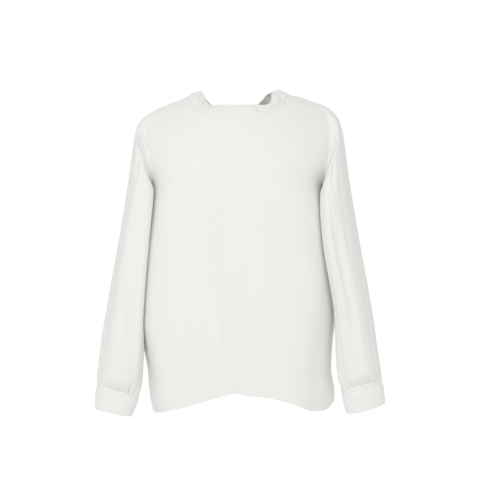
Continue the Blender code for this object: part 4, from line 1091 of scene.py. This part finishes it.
def tube(centres, radii, aside, above):
    """(points, quads) of a closed tube, with a ring of points round each centre from aside to above."""
    angle = np.linspace(0, math.tau, radii.shape[1], endpoint=False)[:, None]
    around = np.cos(angle) * aside + np.sin(angle) * above
    points = (centres[:, None] + radii[..., None] * around).reshape(-1, 3)
    index = np.arange(radii.size).reshape(radii.shape)
    quads = cells(np.concatenate((index, index[:, :1]), axis=1)).reshape(-1, 4)
    p = points[quads]
    volume = np.sum(p[:, 0] * (np.cross(p[:, 1], p[:, 2]) + np.cross(p[:, 2], p[:, 3])))
    return points, quads[:, ::-1] if volume < 0 else quads


# Finishes

WEAVE_SHARE = 0.22  # height of the plain weave under the pebbles
PATCH_SCALE, STREAK_SCALE = 11.0, (900.0, 45.0, 1.0)
STREAK_SHARE, GRAIN_SHARE = 0.6, 0.5  # beside the patches, in the mix of the two colours
TONE_LEVEL = 0.55  # of that mix, below which the silk is all its first colour
MIDDLE_GRAIN, GRAIN_ROUGHNESS = 0.5, 0.16  # pebbles above the middle are rougher by up to this
SHEEN_ROUGHNESS = 0.45
SPECULAR = 0.35
THREAD_ROUGHNESS = 0.42


def node_group(name, inputs, outputs):
    """An empty shader node group with its sockets, each (name, type, default)."""
    made = bpy.data.node_groups.new(name, "ShaderNodeTree")
    for label, kind, default in inputs:
        socket = made.interface.new_socket(label, in_out="INPUT", socket_type="NodeSocket" + kind)
        socket.default_value = default
    for label, kind in outputs:
        made.interface.new_socket(label, in_out="OUTPUT", socket_type="NodeSocket" + kind)
    return made, made.nodes.new("NodeGroupInput").outputs, made.nodes.new("NodeGroupOutput").inputs


def node(tree, kind, **values):
    """A new node: settings by their names, and sockets by theirs, with spaces as underscores."""
    made = tree.nodes.new("ShaderNode" + kind)
    for key, value in values.items():
        if hasattr(made, key):
            setattr(made, key, value)
            continue
        socket = made.inputs[int(key[1:])] if key[1:].isdigit() else made.inputs[key.replace("_", " ")]
        if isinstance(value, bpy.types.NodeSocket):
            tree.links.new(value, socket)
        else:
            socket.default_value = value
    return made.outputs


def maths(tree, operation, a, b):
    return node(tree, "Math", operation=operation, i0=a, i1=b)[0]


def crepe_grain():
    """The fine pebbled grain of twisted yarns over a plain weave, as a bump."""
    tree, given, result = node_group(
        "Crepe grain",
        (
            ("Grain", "Float", 0.0007),
            ("Yarn", "Float", 0.00032),
            ("Depth", "Float", 0.00005),
            ("Strength", "Float", 0.5),
        ),
        (("Normal", "Vector"), ("Grain", "Float")),
    )
    where = node(tree, "TexCoord")
    scale = maths(tree, "DIVIDE", 1.0, given["Grain"])
    pebbles = node(
        tree, "TexNoise", Vector=where["Object"], Scale=scale, Detail=2.0, Roughness=0.6, Distortion=0.6
    )
    turns = maths(tree, "DIVIDE", math.tau, given["Yarn"])
    cloth = node(tree, "VectorMath", operation="SCALE", i0=where["UV"], Scale=turns)
    parts = node(tree, "SeparateXYZ", Vector=cloth[0])
    weave = maths(tree, "MULTIPLY", *(maths(tree, "SINE", parts[axis], 0.0) for axis in "XY"))
    height = maths(tree, "ADD", pebbles[0], maths(tree, "MULTIPLY", weave, WEAVE_SHARE))
    bump = node(tree, "Bump", Height=height, Distance=given["Depth"], Strength=given["Strength"])
    tree.links.new(bump[0], result["Normal"])
    tree.links.new(pebbles[0], result["Grain"])
    return tree


def silk_tone():
    """The slight unevenness of undyed silk: broad soft patches and finer streaks along the yarns."""
    tree, given, result = node_group(
        "Silk tone",
        (
            ("Colour", "Color", (0.8, 0.8, 0.8, 1)),
            ("Deeper colour", "Color", (0.7, 0.7, 0.7, 1)),
            ("Unevenness", "Float", 0.3),
            ("Roughness", "Float", 0.5),
            ("Grain", "Float", 0.5),
        ),
        (("Colour", "Color"), ("Roughness", "Float")),
    )
    where = node(tree, "TexCoord")
    patches = node(tree, "TexNoise", Vector=where["Object"], Scale=PATCH_SCALE, Detail=2.0)
    stretched = node(tree, "Mapping", Vector=where["UV"], Scale=STREAK_SCALE)
    streaks = node(tree, "TexNoise", Vector=stretched[0], Scale=1.0, Detail=1.0)
    mixed = maths(tree, "ADD", patches[0], maths(tree, "MULTIPLY", streaks[0], STREAK_SHARE))
    mixed = maths(tree, "ADD", mixed, maths(tree, "MULTIPLY", given["Grain"], GRAIN_SHARE))
    amount = maths(tree, "MULTIPLY", maths(tree, "SUBTRACT", mixed, TONE_LEVEL), given["Unevenness"])
    colours = {"i6": given["Colour"], "i7": given["Deeper colour"]}
    colour = node(tree, "Mix", data_type="RGBA", clamp_factor=True, i0=amount, **colours)
    above = maths(tree, "SUBTRACT", given["Grain"], MIDDLE_GRAIN)
    rough = maths(tree, "MULTIPLY", above, GRAIN_ROUGHNESS)
    tree.links.new(colour[2], result["Colour"])
    tree.links.new(maths(tree, "ADD", given["Roughness"], rough), result["Roughness"])
    return tree


def silk_material(name, silk, roughness, grain, depth):
    """Crepe silk: matt, with a soft sheen where the light grazes it."""
    if name in bpy.data.materials:
        return bpy.data.materials[name]
    made = bpy.data.materials.new(name)
    made.use_nodes = True
    tree = made.node_tree
    grained, toned = (
        bpy.data.node_groups.get(label) or maker()
        for label, maker in (("Crepe grain", crepe_grain), ("Silk tone", silk_tone))
    )
    crepe = node(tree, "Group", node_tree=grained, Grain=grain, Depth=depth)
    colours = {"Colour": (*silk.colour, 1), "Deeper_colour": (*silk.deeper, 1)}
    tone = node(tree, "Group", node_tree=toned, Roughness=roughness, Grain=crepe["Grain"], **colours)
    shader = tree.nodes["Principled BSDF"].inputs
    tree.links.new(tone["Colour"], shader["Base Color"])
    tree.links.new(tone["Roughness"], shader["Roughness"])
    tree.links.new(crepe["Normal"], shader["Normal"])
    shader["Sheen Weight"].default_value = silk.sheen
    shader["Sheen Roughness"].default_value = SHEEN_ROUGHNESS
    shader["Specular IOR Level"].default_value = SPECULAR
    return made


def cloth_silk(context):
    silk = context.scene.blouse_silk
    return silk_material("ivory crepe silk", silk, silk.roughness, silk.grain, silk.grain_depth)


def thread_silk(context):
    silk = context.scene.blouse_silk
    return silk_material("silk thread", silk, THREAD_ROUGHNESS, silk.grain / 3, silk.grain_depth / 2)


# Settings


class BlouseSizes(bpy.types.PropertyGroup):
    cloth: FloatProperty(
        name="Cloth", description="Thickness of one layer", default=0.00045, min=0.0001, unit="LENGTH"
    )
    band: FloatProperty(
        name="Bands", description="Thickness of the doubled collar and cuffs", default=0.0011, unit="LENGTH"
    )
    roll: FloatProperty(
        name="Seam roll", description="Rise of the cloth beside a seam", default=0.00045, unit="LENGTH"
    )
    pucker: FloatProperty(
        name="Puckers", description="Height of the waves that stitches raise", default=0.00022, unit="LENGTH"
    )
    ripple: FloatProperty(
        name="Ripples", description="Height of the long ripples of the cloth", default=0.0005, unit="LENGTH"
    )


class BlouseSilk(bpy.types.PropertyGroup):
    colour: FloatVectorProperty(
        name="Silk",
        description="Ivory of the cloth",
        subtype="COLOR",
        default=(0.9, 0.893, 0.862),
        min=0,
        max=1,
    )
    deeper: FloatVectorProperty(
        name="Deeper silk",
        description="Its deeper patches",
        subtype="COLOR",
        default=(0.875, 0.862, 0.82),
        min=0,
        max=1,
    )
    roughness: FloatProperty(name="Roughness", description="How matt the silk is", default=0.55, min=0, max=1)
    sheen: FloatProperty(name="Sheen", description="Glow at grazing angles", default=0.25, min=0, max=1)
    grain: FloatProperty(
        name="Grain", description="Size of the crepe's pebbles", default=0.0007, unit="LENGTH"
    )
    grain_depth: FloatProperty(
        name="Grain depth", description="How high the pebbles stand", default=0.00005, unit="LENGTH"
    )


class BlouseStage(bpy.types.PropertyGroup):
    floor: FloatProperty(name="Floor", description="Height of the floor", default=-1.35, unit="LENGTH")
    ambient: FloatProperty(name="Ambient", description="Light from all round", default=0.68, min=0)
    key: FloatProperty(name="Key", description="Light in front on the left", default=17, unit="POWER")
    fill: FloatProperty(name="Fill", description="Light in front on the right", default=6, unit="POWER")


# Steps


def worked_out(context):
    """(pieces of cloth, thickness of one layer, thickness of the doubled bands), in millimetres."""
    sizes = context.scene.blouse_sizes
    pieces = cut_blouse(Relief(sizes.roll / MM, sizes.pucker / MM, sizes.ripple / MM))
    return pieces, sizes.cloth / MM, sizes.band / MM


def registered(piece, slot, *nodes):
    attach(piece, "root")
    if nodes:
        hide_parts(*nodes)


def sew(context, name, cloth, thickness, slit=None):
    """Sew a piece of silk in place of the solid of the same name."""
    piece = sewn("silk_" + name, cloth, thickness, cloth_silk(context), slit)
    registered(piece, "silk", name)


def allowance(from_seam):
    """The extra thickness inside beside a seam."""
    end = ease((SEAM_ALLOWANCE - from_seam) / ALLOWANCE_STEP + 1)
    return end * ALLOWANCE_LAYERS * ease(from_seam / ALLOWANCE_START)


def body_thickness(cloth, layer):
    """(outer, inner, rounded) of a panel: allowances lie inside its seams, and its hem is turned up."""
    from_seam = np.minimum(np.minimum(cloth.from_start(1), cloth.from_end(1)), cloth.from_end(0))
    turned = ease((HEM_TURN - cloth.from_start(0)) / ALLOWANCE_STEP + 1) * ALLOWANCE_LAYERS
    outer = np.full(from_seam.shape, layer / 2)
    inner = layer / 2 + np.maximum(turned, allowance(from_seam))
    rounded = np.zeros(from_seam.shape)
    rounded[0] = (outer[0] + inner[0]) / 2
    return outer, inner, rounded


def band_thickness(cloth, layer, band):
    """A doubled band thins down to one layer at its seam. Its far edge is rounded, and so are its ends."""
    half = (layer + (band - layer) * ease(cloth.from_start(0) / BAND_FADE)) / 2
    rounded = np.zeros(half.shape)
    rounded[-1] = half[-1]
    if not cloth.closed:
        rounded[:, [0, -1]] = half[:, [0, -1]]
    return half, half, rounded


class SewFront(bpy.types.Operator):
    """Sew the front panel"""

    bl_idname = "blouse.sew_front"
    bl_label = "Front"

    def execute(self, context):
        pieces, layer, _ = worked_out(context)
        sew(context, "front", pieces.front, body_thickness(pieces.front, layer))
        return {"FINISHED"}


class SewBack(bpy.types.Operator):
    """Sew the back panel with its short slit below the nape"""

    bl_idname = "blouse.sew_back"
    bl_label = "Back"

    def execute(self, context):
        pieces, layer, _ = worked_out(context)
        slit = foot, middle = int(np.searchsorted(UP_SHARES, SLIT_FOOT)), len(ACROSS_SHARES) // 2
        outer, inner, rounded = body_thickness(pieces.back, layer)
        rounded[foot:, middle] = layer / 2
        sew(context, "back", pieces.back, (outer, inner, rounded), slit)
        return {"FINISHED"}


class SetSleeves(bpy.types.Operator):
    """Set both sleeves into their armholes"""

    bl_idname = "blouse.set_sleeves"
    bl_label = "Sleeves"

    def execute(self, context):
        pieces, layer, _ = worked_out(context)
        for side, arm in pieces.sleeves.items():
            inner = layer / 2 + allowance(np.minimum(arm.from_start(0), arm.from_end(0)))
            sew(context, "sleeve_" + SIDE[side], arm, (layer / 2, inner, 0))
        return {"FINISHED"}


class SetCuffs(bpy.types.Operator):
    """Set a doubled cuff on each sleeve"""

    bl_idname = "blouse.set_cuffs"
    bl_label = "Cuffs"

    def execute(self, context):
        pieces, layer, band = worked_out(context)
        for side, cloth in pieces.cuffs.items():
            sew(context, "cuff_" + SIDE[side], cloth, band_thickness(cloth, layer, band))
        return {"FINISHED"}


class SetCollar(bpy.types.Operator):
    """Set the doubled collar on the neckline"""

    bl_idname = "blouse.set_collar"
    bl_label = "Collar"

    def execute(self, context):
        pieces, layer, band = worked_out(context)
        sew(context, "collar", pieces.collar, band_thickness(pieces.collar, layer, band))
        return {"FINISHED"}


def nape_frame(cloth, band):
    """(point, out, up, across) on the collar's outer face, where the button sits."""
    row, at = round(BUTTON_SHARE * COLLAR_LEVELS), round(BUTTON_PLACE * (cloth.points.shape[1] - 1))
    out = unit(cloth.out[row, at])
    up = unit(cloth.points[row + 1, at] - cloth.points[row - 1, at])
    up = unit(up - out * np.dot(up, out))
    return cloth.points[row, at] + out * band / 2, out, up, np.cross(up, out)


def covered_button(context, nape):
    """A domed button in the blouse's own silk, drawn smooth over its edge, on a cloth shank."""
    point, out, up, across = nape
    head = SEAM_GAP + SHANK_LENGTH
    thick = SHANK_DIAMETER / 2
    shank = [(TIP, 0.0), (thick, 0.0), (thick * SHANK_WAIST, head / 2), (thick, head)]
    dome = [(BUTTON_DIAMETER / 2 * r, head + BUTTON_THICKNESS * t) for r, t in BUTTON_PROFILE]
    profile = np.array([*shank, *dome, (TIP, head + BUTTON_THICKNESS)])
    profile = between(profile, np.linspace(0, len(profile) - 1, 3 * len(profile) - 2))
    angle = np.linspace(0, math.tau, BUTTON_SIDES, endpoint=False)[None]
    reach, height = profile[:, :1], profile[:, 1:]
    pleats = PLEAT_DEPTH * np.cos(BUTTON_PLEATS * angle) * ease(head + PLEAT_REACH - height)
    radii = reach + pleats * (reach > SHANK_DIAMETER)
    return object_from("covered_button", *tube(point + out * height, radii, up, across), cloth_silk(context))


def thread_loop(context, nape):
    """A loop of two twisted plies, from the collar's left end round the shank of the button."""
    point, out, up, across = nape
    toward_slit = across if across[0] < 0 else -across
    bight = SHANK_DIAMETER / 2 + SEAM_GAP + LOOP_CORD / 2
    end = point[0] + SLIT_GAP / 2 + LOOP_LEG
    angle = np.linspace(-math.pi / 2, math.pi / 2, LOOP_BENDS)
    bend = np.stack((-bight * np.cos(angle), bight * np.sin(angle)), axis=-1)
    legs = ((end, -LOOP_SPREAD / 2), (end / 2, -bight)), ((end / 2, bight), (end, LOOP_SPREAD / 2))
    path = np.concatenate((legs[0], bend, legs[1]))
    along = lengths_along(path)
    at = np.linspace(0, along[-1], LOOP_STEPS)
    path = np.stack([np.interp(at, along, values) for values in path.T], axis=-1)
    for _ in range(LOOP_EASING):
        path[1:-1] = (path[:-2] + 2 * path[1:-1] + path[2:]) / 4
    level = SEAM_GAP + LOOP_CORD / 2 + LOOP_LIFT
    line = point + toward_slit * path[:, :1] + up * path[:, 1:] + out * level
    side = unit(np.cross(unit(np.gradient(line, axis=0)), out))
    turn = np.linspace(0, math.tau, LOOP_SIDES, endpoint=False)
    twist = lengths_along(line)[:, None] / LOOP_TWIST * math.pi
    radii = LOOP_CORD / 2 * (1 - PLY_GROOVE + PLY_GROOVE * np.abs(np.cos(turn[None] - twist)))
    radii[[0, -1]] = TIP
    return object_from("thread_loop", *tube(line, radii, side[:, None], out), thread_silk(context))


class FastenNape(bpy.types.Operator):
    """Sew on the covered button and the thread loop at the nape"""

    bl_idname = "blouse.fasten_nape"
    bl_label = "Button and loop"

    def execute(self, context):
        pieces, _, band = worked_out(context)
        nape = nape_frame(pieces.collar, band)
        registered(covered_button(context, nape), "covered_button", "back_button")
        registered(thread_loop(context, nape), "thread", "button_loop")
        return {"FINISHED"}


def stitch_row(line, out):
    """(points, quads) of stitches along a line of points on the cloth's face, each round in section and sunk
    at both ends."""
    half = STITCH_WIDTH / 2
    places = np.stack((STITCH_PROFILE.x * STITCH_LENGTH, 0 * STITCH_PROFILE.x, STITCH_PROFILE.height * half))
    radii = np.tile(STITCH_PROFILE.width[:, None] * half, STITCH_SIDES)
    shape, quads = tube(places.T, radii, np.array((0, 1, 0)), np.array((0, 0, 1)))
    along = lengths_along(line)
    count = int(along[-1] // (STITCH_LENGTH + STITCH_SPACE))
    at = (np.arange(count) + 0.5) * along[-1] / count
    positions = np.interp(at, along, np.arange(len(line)))
    centre, way_out = between(line, positions), unit(between(out, positions))
    ahead = unit(between(np.gradient(line, axis=0), positions))
    axes = np.stack((ahead, unit(np.cross(way_out, ahead)), way_out), axis=1)
    points = centre[:, None] + shape @ axes
    faces = quads[None] + (np.arange(count) * len(shape))[:, None, None]
    return points.reshape(-1, 3), faces.reshape(-1, 4)


def line_at(cloth, wanted, lift):
    """The line across a grid at a distance from its first row, lifted to its outer face."""
    steps = np.arange(len(cloth.points))
    positions = np.array([np.interp(wanted, along, steps) for along in cloth.from_start(0).T])
    columns = np.arange(cloth.points.shape[1])
    low = np.clip(positions.astype(int), 0, len(steps) - 2)
    part = (positions - low)[:, None]
    line, out = (g[low, columns] * (1 - part) + g[low + 1, columns] * part for g in (cloth.points, cloth.out))
    return line + unit(out) * lift, unit(out)


class StitchEdges(bpy.types.Operator):
    """Sew the stitches that hold the hem and the cuffs"""

    bl_idname = "blouse.stitch_edges"
    bl_label = "Stitches"

    def execute(self, context):
        pieces, layer, band = worked_out(context)
        lines = [line_at(panel, HEM_TURN, layer / 2) for panel in (pieces.front, pieces.back)]
        below = CUFF_STITCHES_BELOW + CUFF_SECOND_LINE
        lines += [line_at(cloth, below, band / 2) for cloth in pieces.cuffs.values()]
        points, faces, count = [], [], 0
        for line, out in lines:
            made, quads = stitch_row(line, out)
            faces.append(quads + count)
            points.append(made)
            count += len(made)
        piece = object_from("stitches", np.concatenate(points), np.concatenate(faces), thread_silk(context))
        registered(piece, "thread")
        return {"FINISHED"}


# Stage

VIEW_DISTANCE = 3.5
VIEW_WIDTH = 0.9816  # what the frame takes in at the middle of the blouse
VIEW_CENTRE = (0.001, -0.2924)
SENSOR = 36.0
FLOOR_RADIUS = 4.0
FLOOR_SIDES = 96
FLOOR_GLOW = 0.8  # what lifts the pale floor to the white of the studio, to the camera alone
LIGHT_TARGET = (0, 0, -0.3)
KEY_SIZE, KEY_PLACE = 1.4, (-1.0, -2.6, 0.7)
FILL_SIZE, FILL_PLACE = 1.6, (0.9, -3.0, 0.3)
GAMMA = 1.2


def set_camera(scene):
    camera = linked("camera", bpy.data.cameras.new("camera"))
    camera.location = (VIEW_CENTRE[0], -VIEW_DISTANCE, VIEW_CENTRE[1])
    camera.rotation_euler = (math.pi / 2, 0, 0)
    camera.data.sensor_width = SENSOR
    camera.data.lens = SENSOR * VIEW_DISTANCE / VIEW_WIDTH
    scene.camera = camera


def area_light(name, power, size, place):
    light = bpy.data.lights.new(name, "AREA")
    light.energy, light.size, light.shape = power, size, "DISK"
    made = linked(name, light)
    made.location = place
    x, y, z = np.array(LIGHT_TARGET) - np.array(place)
    made.rotation_euler = (math.atan2(math.hypot(x, y), -z), 0, math.atan2(y, x) - math.pi / 2)


def white_world(strength):
    """White to the camera, and dimmer as a light."""
    world = bpy.data.worlds.new("white studio")
    world.use_nodes = True
    tree = world.node_tree
    background = tree.nodes["Background"].inputs
    background["Color"].default_value = (1, 1, 1, 1)
    seen = node(tree, "LightPath")["Is Camera Ray"]
    lit = maths(tree, "MULTIPLY", maths(tree, "SUBTRACT", 1.0, seen), strength)
    tree.links.new(maths(tree, "ADD", lit, seen), background["Strength"])
    return world


def white_floor(height):
    angle = np.linspace(0, math.tau, FLOOR_SIDES, endpoint=False)
    mesh = bpy.data.meshes.new("floor")
    ring = [(FLOOR_RADIUS * math.cos(a), FLOOR_RADIUS * math.sin(a), height) for a in angle]
    mesh.from_pydata(ring, [], [tuple(range(FLOOR_SIDES))])
    white = bpy.data.materials.new("white floor")
    white.use_nodes = True
    tree = white.node_tree
    shader = tree.nodes["Principled BSDF"].inputs
    shader["Base Color"].default_value = (0.95, 0.95, 0.95, 1)
    shader["Roughness"].default_value = 0.9
    shader["Specular IOR Level"].default_value = 0.1
    shader["Emission Color"].default_value = (1, 1, 1, 1)
    glow = maths(tree, "MULTIPLY", node(tree, "LightPath")["Is Camera Ray"], FLOOR_GLOW)
    tree.links.new(glow, shader["Emission Strength"])
    mesh.materials.append(white)
    return linked("floor", mesh)


class SetStage(bpy.types.Operator):
    """Set the floor, the lights and the camera"""

    bl_idname = "blouse.set_stage"
    bl_label = "Stage"

    def execute(self, context):
        scene, stage = context.scene, context.scene.blouse_stage
        set_camera(scene)
        white_floor(stage.floor)
        area_light("key", stage.key, KEY_SIZE, KEY_PLACE)
        area_light("fill", stage.fill, FILL_SIZE, FILL_PLACE)
        scene.world = white_world(stage.ambient)
        scene.view_settings.view_transform = "Standard"
        scene.view_settings.gamma = GAMMA
        return {"FINISHED"}


STEPS = (SewFront, SewBack, SetSleeves, SetCuffs, SetCollar, FastenNape, StitchEdges, SetStage)
SETTINGS = {"blouse_sizes": BlouseSizes, "blouse_silk": BlouseSilk, "blouse_stage": BlouseStage}


class BlousePanel(bpy.types.Panel):
    bl_idname = "VIEW3D_PT_blouse"
    bl_label = "Silk blouse"
    bl_space_type = "VIEW_3D"
    bl_region_type = "UI"
    bl_category = "Blouse"

    def draw(self, context):
        for title, name in (("Sizes", "blouse_sizes"), ("Silk", "blouse_silk"), ("Stage", "blouse_stage")):
            settings = getattr(context.scene, name)
            box = self.layout.box()
            box.label(text=title)
            for setting in settings.__annotations__:
                box.prop(settings, setting)
        for step in STEPS:
            self.layout.operator(step.bl_idname)


CLASSES = (*SETTINGS.values(), *STEPS, BlousePanel)


def register():
    for made in CLASSES:
        bpy.utils.register_class(made)
    for name, settings in SETTINGS.items():
        setattr(bpy.types.Scene, name, PointerProperty(type=settings))


def unregister():
    for name in SETTINGS:
        delattr(bpy.types.Scene, name)
    for made in reversed(CLASSES):
        bpy.utils.unregister_class(made)


def main():
    register()
    for step in STEPS:
        group, name = step.bl_idname.split(".")
        getattr(getattr(bpy.ops, group), name)()


if __name__ == "__main__":
    main()
